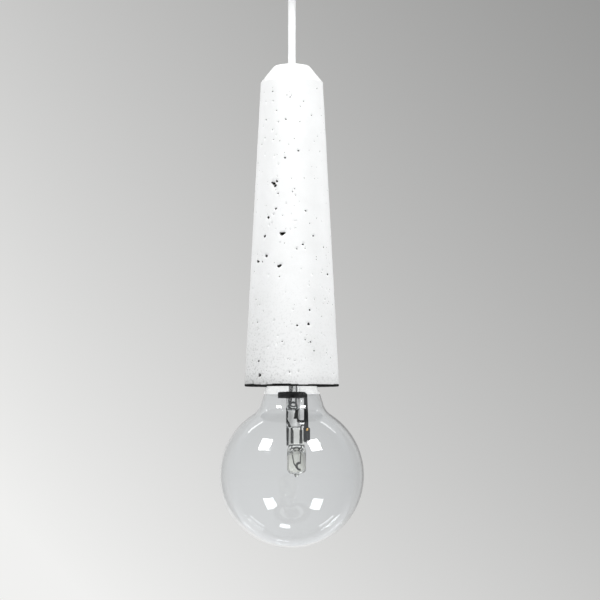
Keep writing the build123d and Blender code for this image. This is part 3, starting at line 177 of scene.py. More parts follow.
def worked(name, light, dark, scale, rough, bump, stretch=(1, 1, 1), **inputs):
    """Surface whose colour, roughness and relief all vary with grain at one working scale.

    light and dark are the colours, rough the lowest and highest roughness, bump the relief in metres.
    """
    mat, shader = new_material(name, **inputs)
    patches = grain(mat, scale * 0.15, 2.0)
    fine = grain(mat, scale, 4.0, 0.6, stretch)
    shade = times(mat, spread(mat, patches, 0.5, 1.0), spread(mat, fine))
    colour = blend_colours(mat, shade, light, dark)
    feed(mat, shader, {"Base Color": colour, "Roughness": spread(mat, fine, *rough)})
    bumped(mat, shader, fine, bump)
    return mat


# ---- mesh helpers


def finish_piece(obj, body, material, replaced, sharp=math.radians(35)):
    """Links a piece, gives it its material, hangs it on the body it rides on, and hides the CAD parts it
    stands in for.
    """
    if obj.name not in scene.collection.objects:
        scene.collection.objects.link(obj)
    obj.data.materials.append(material)
    if obj.type == "MESH":
        obj.data.shade_smooth()
        obj.data.set_sharp_from_angle(angle=sharp)
    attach(obj, body)
    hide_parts(*replaced)
    return obj


def mesh_object(name, bm, inside_faces=()):
    """Turns a bmesh into an object with its normals outwards, and inwards on a sealed hollow."""
    bmesh.ops.recalc_face_normals(bm, faces=bm.faces)
    if inside_faces:
        bmesh.ops.reverse_faces(bm, faces=list(inside_faces))
    mesh = bpy.data.meshes.new(name)
    bm.to_mesh(mesh)
    bm.free()
    return bpy.data.objects.new(name, mesh)


def bridge_rings(bm, rings, closed=False, capped=False):
    """Faces between rings of vertices, of which any may be a single one.

    closed joins the last ring to the first; capped closes both ends.
    """
    faces = []
    pairs = list(zip(rings, rings[1:]))
    if closed:
        pairs.append((rings[-1], rings[0]))
    for low, high in pairs:
        count = max(len(low), len(high))
        if count == 1:
            continue
        for i in range(count):
            k = (i + 1) % count
            corners = [low[i % len(low)], low[k % len(low)], high[k % len(high)], high[i % len(high)]]
            unique = list(dict.fromkeys(corners))
            if len(unique) > 2:
                faces.append(bm.faces.new(unique))
    if capped:
        faces += [bm.faces.new(rings[0]), bm.faces.new(rings[-1])]
    return faces


POLE_R = 1e-7  # a ring narrower than this is a single point


def turned_rings(bm, outline, segments, centre=(0.0, 0.0), nudge=None):
    """Rings of vertices for (radius, z) points; nudge moves a point, given its radius, angle and z."""
    rings = []
    for radius, z in outline:
        count = 1 if radius < POLE_R else segments
        ring = []
        for i in range(count):
            angle = math.tau * i / count - math.pi / 2
            r, height = nudge(radius, angle, z) if nudge else (radius, z)
            x, y = centre[0] + r * math.cos(angle), centre[1] + r * math.sin(angle)
            ring.append(bm.verts.new((x, y, height)))
        rings.append(ring)
    return rings


def turned(name, outline, segments=96):
    bm = bmesh.new()
    bridge_rings(bm, turned_rings(bm, outline, segments), closed=True)
    return mesh_object(name, bm)


def rounded(corners, steps=6):
    """Points of an outline whose corners (r, z, radius) are rounded by arcs."""
    points = []
    for i, (x, y, radius) in enumerate(corners):
        here = Vector((x, y))
        if radius <= 0:
            points.append((x, y))
            continue
        before = (Vector(corners[i - 1][:2]) - here).normalized()
        after = (Vector(corners[(i + 1) % len(corners)][:2]) - here).normalized()
        half = before.angle(after) / 2
        centre = here + (before + after).normalized() * (radius / math.sin(half))
        start = here + before * (radius / math.tan(half)) - centre
        end = here + after * (radius / math.tan(half)) - centre
        turn = start.angle_signed(end)
        for k in range(steps + 1):
            arm = start.copy()
            arm.rotate(Matrix.Rotation(-turn * k / steps, 2))
            points.append(tuple(centre + arm))
    return points


def smooth_line(points, steps=8):
    """Catmull-Rom line through the points."""
    ends = [points[0] * 2 - points[1], *points, points[-1] * 2 - points[-2]]
    line = []
    for a, b, c, d in zip(ends, ends[1:], ends[2:], ends[3:]):
        for k in range(steps):
            t = k / steps
            bend, twist = 2 * a - 5 * b + 4 * c - d, 3 * b - a - 3 * c + d
            line.append(0.5 * ((2 * b) + (c - a) * t + bend * t**2 + twist * t**3))
    line.append(points[-1].copy())
    return line


def tube_rings(bm, line, radius, sides):
    """Closed round tube along a line of points; radius may vary along it."""
    rings = []
    side = None
    for i, point in enumerate(line):
        along = (line[min(i + 1, len(line) - 1)] - line[max(i - 1, 0)]).normalized()
        if side is None:
            side = along.orthogonal().normalized()
        side = (side - along * side.dot(along)).normalized()
        up = along.cross(side)
        r = radius(i / (len(line) - 1)) if callable(radius) else radius
        turn = [math.tau * k / sides for k in range(sides)]
        rings.append([bm.verts.new(point + side * (r * math.cos(a)) + up * (r * math.sin(a))) for a in turn])
    bridge_rings(bm, rings, capped=True)


def tubes(name, lines, radius, sides=10):
    bm = bmesh.new()
    for line in lines:
        tube_rings(bm, line, radius, sides)
    return mesh_object(name, bm)


def plate(name, outline, thickness, bevel):
    """Flat bevelled plate of that thickness from an outline of (x, z) points, standing in the XZ plane."""
    bm = bmesh.new()
    sides = [[bm.verts.new((x, y, z)) for x, z in outline] for y in (-thickness / 2, thickness / 2)]
    bridge_rings(bm, sides, capped=True)
    bmesh.ops.bevel(bm, geom=bm.edges[:], offset=bevel, segments=2, affect="EDGES")
    return mesh_object(name, bm)


def offsets(x, z, steps):
    """Outline of places that far from (x, z), in millimetres."""
    return [(x + dx * MM, z + dz * MM) for dx, dz in steps]


# ---- cord


def cord_material():
    """White PVC sheath: smooth, with faint drawing marks along it."""
    mat, shader = new_material("cord_sheath", IOR=1.5)
    marks = grain(mat, 900, 3.0, 0.6, (1, 1, 0.04))
    scuffs = grain(mat, 160, 4.0, 0.6)
    colour = blend_colours(mat, remap(mat, scuffs, 0.45, 0.8), (0.95, 0.95, 0.945), (0.88, 0.88, 0.87))
    feed(mat, shader, {"Base Color": colour, "Roughness": spread(mat, marks, 0.32, 0.46)})
    bumped(mat, shader, marks, 0.03 * MM)
    return mat


CORD_ROUTE = [(0, 0, z) for z in (PIVOT_Z, -92 * MM, -146 * MM, -200 * MM, CORD_END_Z)]
cord_curve = bpy.data.curves.new("pendant_cord", "CURVE")
cord_curve.dimensions = "3D"
cord_spline = cord_curve.splines.new("NURBS")
cord_spline.points.add(len(CORD_ROUTE) - 1)
for control, point in zip(cord_spline.points, CORD_ROUTE):
    control.co = (*point, 1.0)
cord_spline.order_u = 3
cord_spline.use_endpoint_u = True
cord_curve.bevel_depth = CORD_R
cord_curve.bevel_resolution = 8
cord_curve.use_fill_caps = True
cord = bpy.data.objects.new("pendant_cord", cord_curve)
finish_piece(cord, "pendant", cord_material(), ["cord"])

# ---- concrete body

SHADOW_LINE_BLACK = (0.002, 0.002, 0.002)  # painted shade: the black shadow line round the lower edge
SHADOW_LINE_GREY = (0.020, 0.020, 0.018)
BARE_SHADED, SHADOW_LINE = 1.0, 2.0  # a vertex's darkening: 1 is unpainted concrete with painted shade, 2 the painted black shadow line; 0 is the cast skin
LOWER_SHADE_HEIGHT = 120 * MM  # faint painted shade, up from the lower rim
FOOT_SHADE_HEIGHT = 9 * MM  # and the darker painted shade next to it


def concrete_material():
    """White cast concrete: mottled and finely pored; unpainted and dark with painted shade inside its pits
    and recess, with painted shade in its pin-prick pores and towards the lower left rim, and a painted black
    shadow line underneath.
    """
    mat, shader = new_material("white_concrete", IOR=1.45, Specular_IOR_Level=0.15)
    clouds = remap(mat, grain(mat, 55, 4.0, 0.6), 0.3, 0.75)
    sand = spread(mat, grain(mat, 2600, 3.0, 0.65))
    coarse = grain(mat, 700, 4.0, 0.7)
    skin = blend_colours(mat, clouds, (0.93, 0.93, 0.925), (0.87, 0.87, 0.86))
    skin = blend_colours(mat, times(mat, sand, 0.12), skin, (0.62, 0.62, 0.60))

    def pores(scale, share, size):
        """Pin-prick pores, in only that share of the pattern's cells."""
        cells = add_node(mat, "ShaderNodeTexVoronoi", {"Vector": place(mat), "Scale": scale})
        pick = add_node(mat, "ShaderNodeSeparateColor", {"Color": cells.outputs["Color"]})
        chosen = maths(mat, "LESS_THAN", pick.outputs["Red"], share)
        reach = remap(mat, pick.outputs["Green"], 0.0, 1.0, size * 0.4, size)
        return times(mat, chosen, maths(mat, "LESS_THAN", cells.outputs["Distance"], reach))

    shaded_pin_pores = maths(mat, "MAXIMUM", pores(620, 0.05, 0.22), pores(380, 0.03, 0.17))

    # Painted shade: greyer towards the lower rim, most at the left, broken up by grit
    x, _, z = axes_of(mat, place(mat))
    grit = remap(mat, coarse, 0.52, 0.66)
    corner = remap(mat, x, 8 * MM, -34 * MM, 0.35, 1.0)
    low = remap(mat, z, FOOT_Z + LOWER_SHADE_HEIGHT, FOOT_Z)
    lower_shade = times(mat, times(mat, times(mat, low, low), corner), plus(mat, times(mat, grit, 0.6), 0.26))
    skin = blend_colours(mat, lower_shade, skin, (0.36, 0.36, 0.345))
    # Darker painted shade at the foot, most at the left
    foot = remap(mat, z, FOOT_Z + FOOT_SHADE_HEIGHT, FOOT_Z + 0.5 * MM)
    foot_shade = times(mat, times(mat, times(mat, foot, foot), corner), plus(mat, times(mat, grit, 0.45), 0.40))
    skin = blend_colours(mat, foot_shade, skin, (0.20, 0.20, 0.19))
    # Painted shade in the pin-prick pores
    skin = blend_colours(mat, times(mat, shaded_pin_pores, 0.75), skin, (0.16, 0.155, 0.13))

    # Painted shade: unpainted concrete coloured near black inside the pits and the recess
    bare_shade_level = add_node(mat, "ShaderNodeAttribute", attribute_name="bare_shade").outputs["Fac"]
    crumbs = remap(mat, grain(mat, 1500, 4.0, 0.7), 0.35, 0.65)
    bare_shaded_rubble = blend_colours(mat, crumbs, (0.008, 0.008, 0.005), (0.040, 0.037, 0.026))
    body = blend_colours(mat, remap(mat, bare_shade_level, 0.0, BARE_SHADED), skin, bare_shaded_rubble)
    # Painted shade: the black shadow line round the rim's underside, a little uneven
    shadow_line_colour = blend_colours(mat, remap(mat, coarse, 0.45, 0.7), SHADOW_LINE_BLACK, SHADOW_LINE_GREY)
    body = blend_colours(mat, remap(mat, bare_shade_level, BARE_SHADED, SHADOW_LINE), body, shadow_line_colour)
    feed(mat, shader, {"Base Color": body, "Roughness": remap(mat, sand, 0.0, 1.0, 0.72, 0.92)})
    bumped(mat, shader, maths(mat, "SUBTRACT", times(mat, sand, 0.12), shaded_pin_pores), 0.12 * MM)
    return mat


SHOULDER_R = 20.7 * MM
CAST_TOP = CONCRETE_TOP + 0.7 * MM  # as high as the photograph shows it
SHOULDER_Z = CAST_TOP - 12.3 * MM
CONE_BOTTOM_R = 31.2 * MM
BORE_R = 4.0 * MM
CROWN_R = 11.6 * MM
CROWN_DROP = 1.3 * MM
RECESS_R = 21.5 * MM
RECESS_TOP = FOOT_Z + 66 * MM
POCKET_R = 9.0 * MM
POCKET_TOP = RECESS_TOP + 22 * MM
CAST_SEGMENTS = 240
SIDE_TOP = SHOULDER_Z - 3.0 * MM
SIDE_BOTTOM = FOOT_Z + 3.0 * MM
RIM_Z = FOOT_Z - 1.4 * MM  # as low as the photograph shows it
SHADOW_LINE_BAND = 1.25 * MM  # height of the painted black shadow line round the rim
SHADOW_LINE_UNEVEN = 0.6 * MM
SIDE_ROWS = 112
SIDE_COLUMNS = 120
SAME = 1e-6  # places closer than this are one


def cone_radius(z):
    share = (SHOULDER_Z - z) / (SHOULDER_Z - FOOT_Z)
    return SHOULDER_R + (CONE_BOTTOM_R - SHOULDER_R) * share


def cast_offset(angle, z):
    """Slight inward waviness of the cast wall."""
    at = Vector((math.cos(angle), math.sin(angle), z * 22))
    return -0.10 * MM * (0.5 + 0.5 * noise.noise(at * 1.7)) - 0.03 * MM * (0.5 + 0.5 * noise.noise(at * 9.0))


def rim_chip(angle):
    """How far the lower rim is worn back at an angle: a little everywhere, more in a few chips."""
    at = Vector((math.cos(angle) * 5, math.sin(angle) * 5, 3.1))
    fine = 0.5 + 0.5 * noise.noise(at * 4.0)
    coarse = max(0.0, noise.noise(at * 1.3) - 0.22)
    return (0.12 * fine + 1.1 * coarse) * MM


# Larger pores: degrees round from the front, height above the lower rim and radius in mm
LAID_PORES = [
    (-29, 130.8, 1.35), (-26.2, 129.2, 1.13), (-23.6, 132.2, 0.9), (-31.9, 131.4, 0.68),
    (-14.2, 97.5, 1.45), (-11.6, 97.8, 1.09), (-17.8, 76.3, 1.2), (-15.8, 76.9, 0.92),
    (-55, 80.2, 1.25), (-38, 83.4, 0.98), (10.8, 152, 0.68), (-10.8, 147.5, 0.64),
    (-24.2, 114.1, 0.75), (-36.8, 108.6, 0.9), (-42.5, 96.4, 0.9), (20.9, 112.6, 0.62),
    (32.5, 96.4, 0.63), (16.1, 90.5, 0.6), (59, 71.8, 0.75), (22, 38.7, 0.86),
    (7, 37.7, 0.62), (24, 47.8, 0.63), (24.3, 27, 0.58), (-42.3, 5.7, 1.13),
    (-45, 14.8, 0.68), (-10.3, 173, 0.55), (-36.4, 192, 0.42), (131, 61, 1.15),
    (152, 122, 0.92), (104, 148, 1.09), (-118, 104, 1.25), (-149, 44, 1.03),
]
SMALL_PORES = 330


def scattered_pores():
    """Laid pores and seeded small ones, as (angle, z, radius); fewer high on the right."""
    draw = random.Random(7)
    found = [(math.radians(a), FOOT_Z + h * MM, r * MM) for a, h, r in LAID_PORES]
    while len(found) < len(LAID_PORES) + SMALL_PORES:
        angle = draw.uniform(-math.pi * 0.985, math.pi * 0.985)
        z = draw.uniform(SIDE_BOTTOM + 1.5 * MM, SIDE_TOP - 1.5 * MM)
        radius = (0.17 + 0.33 * draw.random() ** 3) * MM
        height = (z - SIDE_BOTTOM) / (SIDE_TOP - SIDE_BOTTOM)
        here = Vector((math.sin(angle) * 2, math.cos(angle) * 2, z * 25)) + Vector((5, 0, 0))
        keep = 0.35 + 0.65 * noise.noise(here)
        if math.sin(angle) > 0.1 and height > 0.45:
            keep -= 0.45
        if draw.random() > keep + 0.3:
            continue
        around = cone_radius(z)
        if all(math.hypot((angle - a) * around, z - h) >= 1.35 * (radius + r) for a, h, r in found):
            found.append((angle, z, radius))
    return found


# Share of the pore's radius, share of its depth, and its darkening: unpainted concrete with painted shade
PORE_RINGS = ((0.0, 1.0, BARE_SHADED), (0.55, 0.95, BARE_SHADED), (0.88, 0.75, BARE_SHADED), (1.0, 0.08, 0.8), (1.18, 0.0, 0.0))


class Pore:
    """Hole in the cast wall: a lumpy ellipse, described on the unrolled wall."""

    def __init__(self, draw, angle, z, radius):
        self.angle, self.z, self.radius = angle, z, radius
        self.sides = 7 if radius < 0.3 * MM else (10 if radius < 0.7 * MM else 20)
        self.wobble = [(draw.uniform(0, math.tau), draw.uniform(0.03, 0.14)) for _ in range(3)]
        self.squash = draw.uniform(0.62, 0.95)
        self.lean = draw.uniform(-0.6, 0.6)
        self.depth = radius * draw.uniform(1.5, 2.1)

    def gap(self, other):
        return math.hypot((other.angle - self.angle) * cone_radius(self.z), other.z - self.z)

    def reach(self, turn):
        return self.radius * (1 + sum(w * math.sin(i * turn + p) for i, (p, w) in enumerate(self.wobble, 2)))

    def point(self, share, turn):
        """Place on the wall at that share of the way from the middle to the edge."""
        out = share * self.reach(turn)
        x, y = out * math.cos(turn), out * math.sin(turn) * self.squash
        c, s = math.cos(self.lean), math.sin(self.lean)
        return self.angle + (x * c - y * s) / cone_radius(self.z), self.z + x * s + y * c

    def cut(self, angle, z):
        """Depth, and darkening of unpainted concrete with painted shade, that the pore gives to a place on
        the wall.
        """
        x, y = (angle - self.angle) * cone_radius(self.z), z - self.z
        c, s = math.cos(self.lean), math.sin(self.lean)
        x, y = x * c + y * s, (y * c - x * s) / self.squash
        share = math.hypot(x, y) / self.reach(math.atan2(y, x))
        for (near, deep, dark), (far, deep_far, dark_far) in zip(PORE_RINGS, PORE_RINGS[1:]):
            if share <= far:
                t = (share - near) / (far - near)
                return (deep + (deep_far - deep) * t) * self.depth, dark + (dark_far - dark) * t
        return 0.0, 0.0


def side_wall(bm, bare_shade):
    """The tapered side as a triangulated sheet round the cone, with every pore modelled as a hole in it."""
    draw = random.Random(11)
    pores = [Pore(draw, *spot) for spot in scattered_pores()]
    spots = []  # angle, z, depth, darkening with painted shade
    for pore in pores:
        near = [other for other in pores if pore.gap(other) < 1.5 * (other.radius + pore.radius)]
        for share, _, _ in PORE_RINGS:
            for k in range(pore.sides if share else 1):
                angle, z = pore.point(share, math.tau * k / pore.sides)
                cuts = [other.cut(angle, z) for other in near]
                spots.append((angle, z, max(c[0] for c in cuts), max(c[1] for c in cuts)))
    taken = [(pore.angle, pore.z, 1.6 * pore.radius + 0.35 * MM) for pore in pores]

    grid = []  # smooth wall between the pores, and its edges
    for z in (SIDE_TOP, SIDE_BOTTOM):
        grid += [(-math.pi + math.tau * i / CAST_SEGMENTS, z) for i in range(CAST_SEGMENTS + 1)]
    for row in range(1, SIDE_ROWS):
        z = SIDE_TOP + (SIDE_BOTTOM - SIDE_TOP) * row / SIDE_ROWS
        around = cone_radius(z)
        grid += [(-math.pi, z), (math.pi, z)]
        for column in range(SIDE_COLUMNS):
            angle = -math.pi + math.tau * (column + 0.25 + 0.5 * (row % 2)) / SIDE_COLUMNS
            if all(math.hypot((angle - a) * around, z - h) > reach for a, h, reach in taken):
                grid.append((angle, z))
    spots = [(angle, z, 0.0, 0.0) for angle, z in grid] + spots

    mean = (SHOULDER_R + CONE_BOTTOM_R) / 2
    flat = [Vector((angle * mean, z)) for angle, z, _, _ in spots]
    _, _, faces, origin, _, _ = delaunay_2d_cdt(flat, [], [], 0, 1e-7)
    made = {}

    def vertex(index):
        source = origin[index][0]
        if source not in made:
            angle, z, depth, dark = spots[source]
            turn = angle - math.pi / 2
            r = cone_radius(z) + cast_offset(turn, z) - depth
            made[source] = bm.verts.new((r * math.cos(turn), r * math.sin(turn), z))
            made[source][bare_shade] = dark
        return made[source]

    for face in faces:
        bm.faces.new([vertex(i) for i in face])


def concrete_body():
    """The casting: domed top, shoulder, pored side, worn foot, recess, pocket and cord bore."""
    bm = bmesh.new()
    bare_shade = bm.verts.layers.float.new("bare_shade")
    side_wall(bm, bare_shade)

    def crown(radius, angle, z):
        return radius + cast_offset(angle, z) * min(1.0, radius / CROWN_R), z - 0.02 * MM

    dome_steps = 6
    dome = []
    for k in range(dome_steps):
        radius = BORE_R + (CROWN_R - 2 * MM - BORE_R) * k / dome_steps
        dome.append((radius, CAST_TOP - 0.8 * CROWN_DROP * (k / dome_steps) ** 2))
    shoulder = rounded(
        [
            (CROWN_R - 4 * MM, CAST_TOP - 0.5 * CROWN_DROP, 0),
            (CROWN_R + 0.2 * MM, CAST_TOP - CROWN_DROP, 2.4 * MM),
            (SHOULDER_R, SHOULDER_Z, 0.9 * MM),
            (cone_radius(SIDE_TOP), SIDE_TOP, 0),
        ],
        8,
    )[1:-1]
    top_rings = turned_rings(bm, dome + shoulder, CAST_SEGMENTS, nudge=crown)
    top_edge = [(cone_radius(SIDE_TOP), SIDE_TOP)]
    side_ring = turned_rings(bm, top_edge, CAST_SEGMENTS, nudge=lambda r, a, z: (r + cast_offset(a, z), z))
    bridge_rings(bm, top_rings + side_ring)

    def worn(radius, angle, z):
        near = 1 - min(1.0, (z - RIM_Z) / (3.5 * MM))
        chip = rim_chip(angle) * near**2
        outer = radius > RECESS_R + 2 * MM
        r = radius + cast_offset(angle, z) * (1 if outer else 0)
        return (r - chip, z + 0.6 * chip * near) if outer else (r, z)

    foot = rounded(
        [
            (cone_radius(SIDE_BOTTOM), SIDE_BOTTOM, 0),
            *[(cone_radius(RIM_Z + h * MM), RIM_Z + h * MM, 0) for h in (1.6, 1.25, 1.0, 0.8)],
            (CONE_BOTTOM_R, RIM_Z, 0.7 * MM),
            (RECESS_R, RIM_Z, 0.6 * MM),
            (RECESS_R, RECESS_TOP, 1.5 * MM),
            (POCKET_R, RECESS_TOP, 0.5 * MM),
            (POCKET_R, POCKET_TOP, 0.5 * MM),
            (BORE_R, POCKET_TOP, 0),
        ],
        5,
    )
    rows = []
    for before, after in zip(foot, foot[1:]):
        rows.append(before)
        if abs(before[1] - RIM_Z) < SAME and abs(after[1] - RIM_Z) < SAME:
            rows += [(before[0] + (after[0] - before[0]) * k / 4, RIM_Z) for k in (1, 2, 3)]
    rows.append(foot[-1])
    foot_rings = turned_rings(bm, rows, CAST_SEGMENTS, nudge=worn)
    # Painted shade: a black shadow line round the lower edge, and unpainted concrete darkened inside the
    # recess
    for ring, (radius, z) in zip(foot_rings, rows):
        for i, vertex in enumerate(ring):
            here = Vector((math.sin(math.tau * i / CAST_SEGMENTS), i * 0.05, 2.0))
            if z < RIM_Z + SHADOW_LINE_BAND + SHADOW_LINE_UNEVEN * noise.noise(here):
                vertex[bare_shade] = SHADOW_LINE
            elif radius < RECESS_R + 0.5 * MM:
                vertex[bare_shade] = BARE_SHADED
    bridge_rings(bm, foot_rings)
    bridge_rings(bm, [foot_rings[-1], top_rings[0]])
    bmesh.ops.remove_doubles(bm, verts=bm.verts, dist=SAME)
    return mesh_object("cast_concrete_body", bm)


CAST_SHARP = math.radians(60)
finish_piece(concrete_body(), "pendant", concrete_material(), ["concrete_body"], CAST_SHARP)

# ---- glass


def glass_material(name, ior, tint, rough, ripple, waves, let_through, edge, edge_shade_tint):
    """Clear glass with faint ripples; lamps shine through it, so that what is inside is lit.

    ripple is the relief in metres and waves how many to the metre; edge is the span of facing over which
    the tint turns into a darker edge colour, painted shade for the glass seen edge on.
    """
    mat, shader = new_material(name, IOR=ior, Transmission_Weight=1.0)
    smears = grain(mat, 60, 3.0, 0.6)
    bumped(mat, shader, grain(mat, waves, 1.0, 0.4), ripple)
    # Painted shade: the glass colour darkens towards the edges as seen
    facing = add_node(mat, "ShaderNodeLayerWeight").outputs["Facing"]
    colour = blend_colours(mat, remap(mat, facing, *edge), tint, edge_shade_tint)
    feed(mat, shader, {"Base Color": colour, "Specular Tint": colour})
    feed(mat, shader, {"Roughness": remap(mat, smears, 0.4, 0.9, 0.0, rough)})
    clear = add_node(mat, "ShaderNodeBsdfTransparent", {"Color": let_through})
    shadow = add_node(mat, "ShaderNodeLightPath").outputs["Is Shadow Ray"]
    ends = {0: shadow, 1: shader.outputs["BSDF"], 2: clear.outputs["BSDF"]}
    show(mat, add_node(mat, "ShaderNodeMixShader", ends).outputs["Shader"])
    return mat


GLASS = 0.8 * MM
NECK_FILLET = 12.0 * MM  # concave, from the neck to the globe
NECK_FILLET_X = 32.3 * MM
# Radius, and height over the globe's middle, in mm
NECK = [(11.9, 70.0), (12.0, 66.4), (12.5, 64.0), (13.7, 62.2), (16.6, 58.4), (18.7, 53.4), (20.2, 48.6)]


def globe_outline(inset):
    """(radius, z) points of one surface of the globe, from the neck's end down to the bottom."""
    neck = [Vector(((r * MM) - inset, GLOBE_Z + h * MM, 0)) for r, h in NECK]
    points = [(p.x, p.y) for p in smooth_line(neck, 6)]
    height = math.sqrt((GLOBE_R + NECK_FILLET) ** 2 - NECK_FILLET_X**2)
    radius = NECK_FILLET + inset
    start = math.atan2(NECK[-1][1] * MM - height, points[-1][0] - NECK_FILLET_X) % math.tau
    end = math.atan2(-height, -NECK_FILLET_X) % math.tau
    fillet_steps = 14
    for k in range(1, fillet_steps + 1):
        a = start + (end - start) * k / fillet_steps
        points.append((NECK_FILLET_X + radius * math.cos(a), GLOBE_Z + height + radius * math.sin(a)))
    first = math.atan2(height, NECK_FILLET_X)
    globe_steps = 72
    for k in range(1, globe_steps):
        a = first + (-math.pi / 2 - first) * k / globe_steps
        points.append(((GLOBE_R - inset) * math.cos(a), GLOBE_Z + (GLOBE_R - inset) * math.sin(a)))
    points.append((0.0, GLOBE_Z - GLOBE_R + inset))
    return points


clear_glass = glass_material(
    "clear_soda_glass",
    ior=1.5,
    tint=(0.962, 0.972, 0.98),
    rough=0.012,
    ripple=0.02 * MM,
    waves=35,
    let_through=(0.93, 0.94, 0.945),
    edge=(0.78, 0.88),
    edge_shade_tint=(0.79, 0.80, 0.81),
)
globe = turned("glass_envelope", globe_outline(0) + globe_outline(GLASS)[::-1], segments=160)
finish_piece(globe, LAMP, clear_glass, ["glass_globe"])

SHIELD_R = 9.2 * MM
SHIELD_TOP = FOOT_Z - 5.0 * MM
COAT_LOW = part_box("neck_coat")[0].z - 0.6 * MM
COAT_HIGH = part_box("neck_coat")[1].z
COAT_INSET = 0.35 * MM  # fused into the glass, so that it fills the neck to its very edge
COAT = 0.25 * MM
WINDOW_X = 1.9 * MM  # the coat thins out here, in front and behind


def coat_material():
    """White coat inside the neck: milky and a little uneven, with a clear strip where the wires show, and a
    faint glow that is painted light.
    """
    # The emission is painted light, keeping the coat white in the concrete's shadow
    mat, shader = new_material(
        "milky_coat_painted_glow", IOR=1.45, Emission_Color=(1.0, 1.0, 0.99), Emission_Strength=0.42
    )
    cloud = grain(mat, 220, 3.0, 0.6)
    colour = blend_colours(mat, spread(mat, cloud), (0.97, 0.97, 0.965), (0.90, 0.90, 0.895))
    feed(mat, shader, {"Base Color": colour, "Roughness": spread(mat, cloud, 0.45, 0.6)})
    x, _, z = axes_of(mat, place(mat))
    aside = maths(mat, "ABSOLUTE", maths(mat, "SUBTRACT", x, WINDOW_X))
    strip = remap(mat, aside, 3.2 * MM, 4.6 * MM, 0.05, 1.0)
    beside = remap(mat, maths(mat, "ABSOLUTE", x), SHIELD_R, SHIELD_R + 0.6 * MM)
    over = remap(mat, z, SHIELD_TOP, SHIELD_TOP + 0.4 * MM)
    cover = times(mat, strip, maths(mat, "MAXIMUM", beside, over))
    feed(mat, shader, {"Alpha": times(mat, spread(mat, cloud, 0.72, 0.84), cover)})
    return mat


coat_face = [(r, z) for r, z in globe_outline(COAT_INSET) if COAT_LOW < z < COAT_HIGH]
coat = turned("neck_coat_ring", coat_face + [(r - COAT, z) for r, z in coat_face[::-1]], segments=128)
finish_piece(coat, LAMP, coat_material(), ["neck_coat"])

# ---- burner, stem and wires

CAPSULE_X = 3.1 * MM
CAPSULE_R = 6.25 * MM
CAPSULE_WALL = 1.0 * MM
CAPSULE_LUMPS = 0.55 * MM  # relief of its drawn end
CAPSULE_DOME = 3.6 * MM
CAPSULE_DRAWN = 4.6 * MM  # from the straight wall's end to the tip
PINCH_BLEND = 4.6 * MM  # over which the flat pinch becomes round
CAPSULE_SEGMENTS = 64
PINCH_TOP = FOOT_Z - 28.9 * MM
PINCH_BOTTOM = PINCH_TOP - 11.7 * MM
CAPSULE_END = FOOT_Z - 60.0 * MM
FOIL_OFFSET = 2.9 * MM
LEFT_PIN_X = CAPSULE_X - FOIL_OFFSET
RIGHT_PIN_X = CAPSULE_X + FOIL_OFFSET
STRAP_X = 9.5 * MM
STEM_TOP = GLOBE_Z + 66.0 * MM
STEM_BOTTOM = PINCH_TOP + 0.4 * MM
STEM_R = 4.6 * MM
STEM_X = 0.8 * MM  # the stem stands a little to the burner's side

quartz = glass_material(
    "quartz",
    ior=1.48,
    tint=(0.965, 0.97, 0.935),
    rough=0.02,
    ripple=0.16 * MM,
    waves=260,
    let_through=(0.9, 0.9, 0.88),
    edge=(0.5, 0.85),
    edge_shade_tint=(0.42, 0.40, 0.33),
)


def capsule_ring(bm, z, half_x, half_y=None, power=2.0):
    """Closed ring: a circle, or with a higher power a rounded bar."""
    half_y = half_y or half_x
    ring = []
    for i in range(CAPSULE_SEGMENTS):
        a = math.tau * i / CAPSULE_SEGMENTS
        c, s = math.cos(a), math.sin(a)
        x = math.copysign(abs(c) ** (2 / power), c) * half_x
        y = math.copysign(abs(s) ** (2 / power), s) * half_y
        ring.append(bm.verts.new((CAPSULE_X + x, y, z)))
    return ring


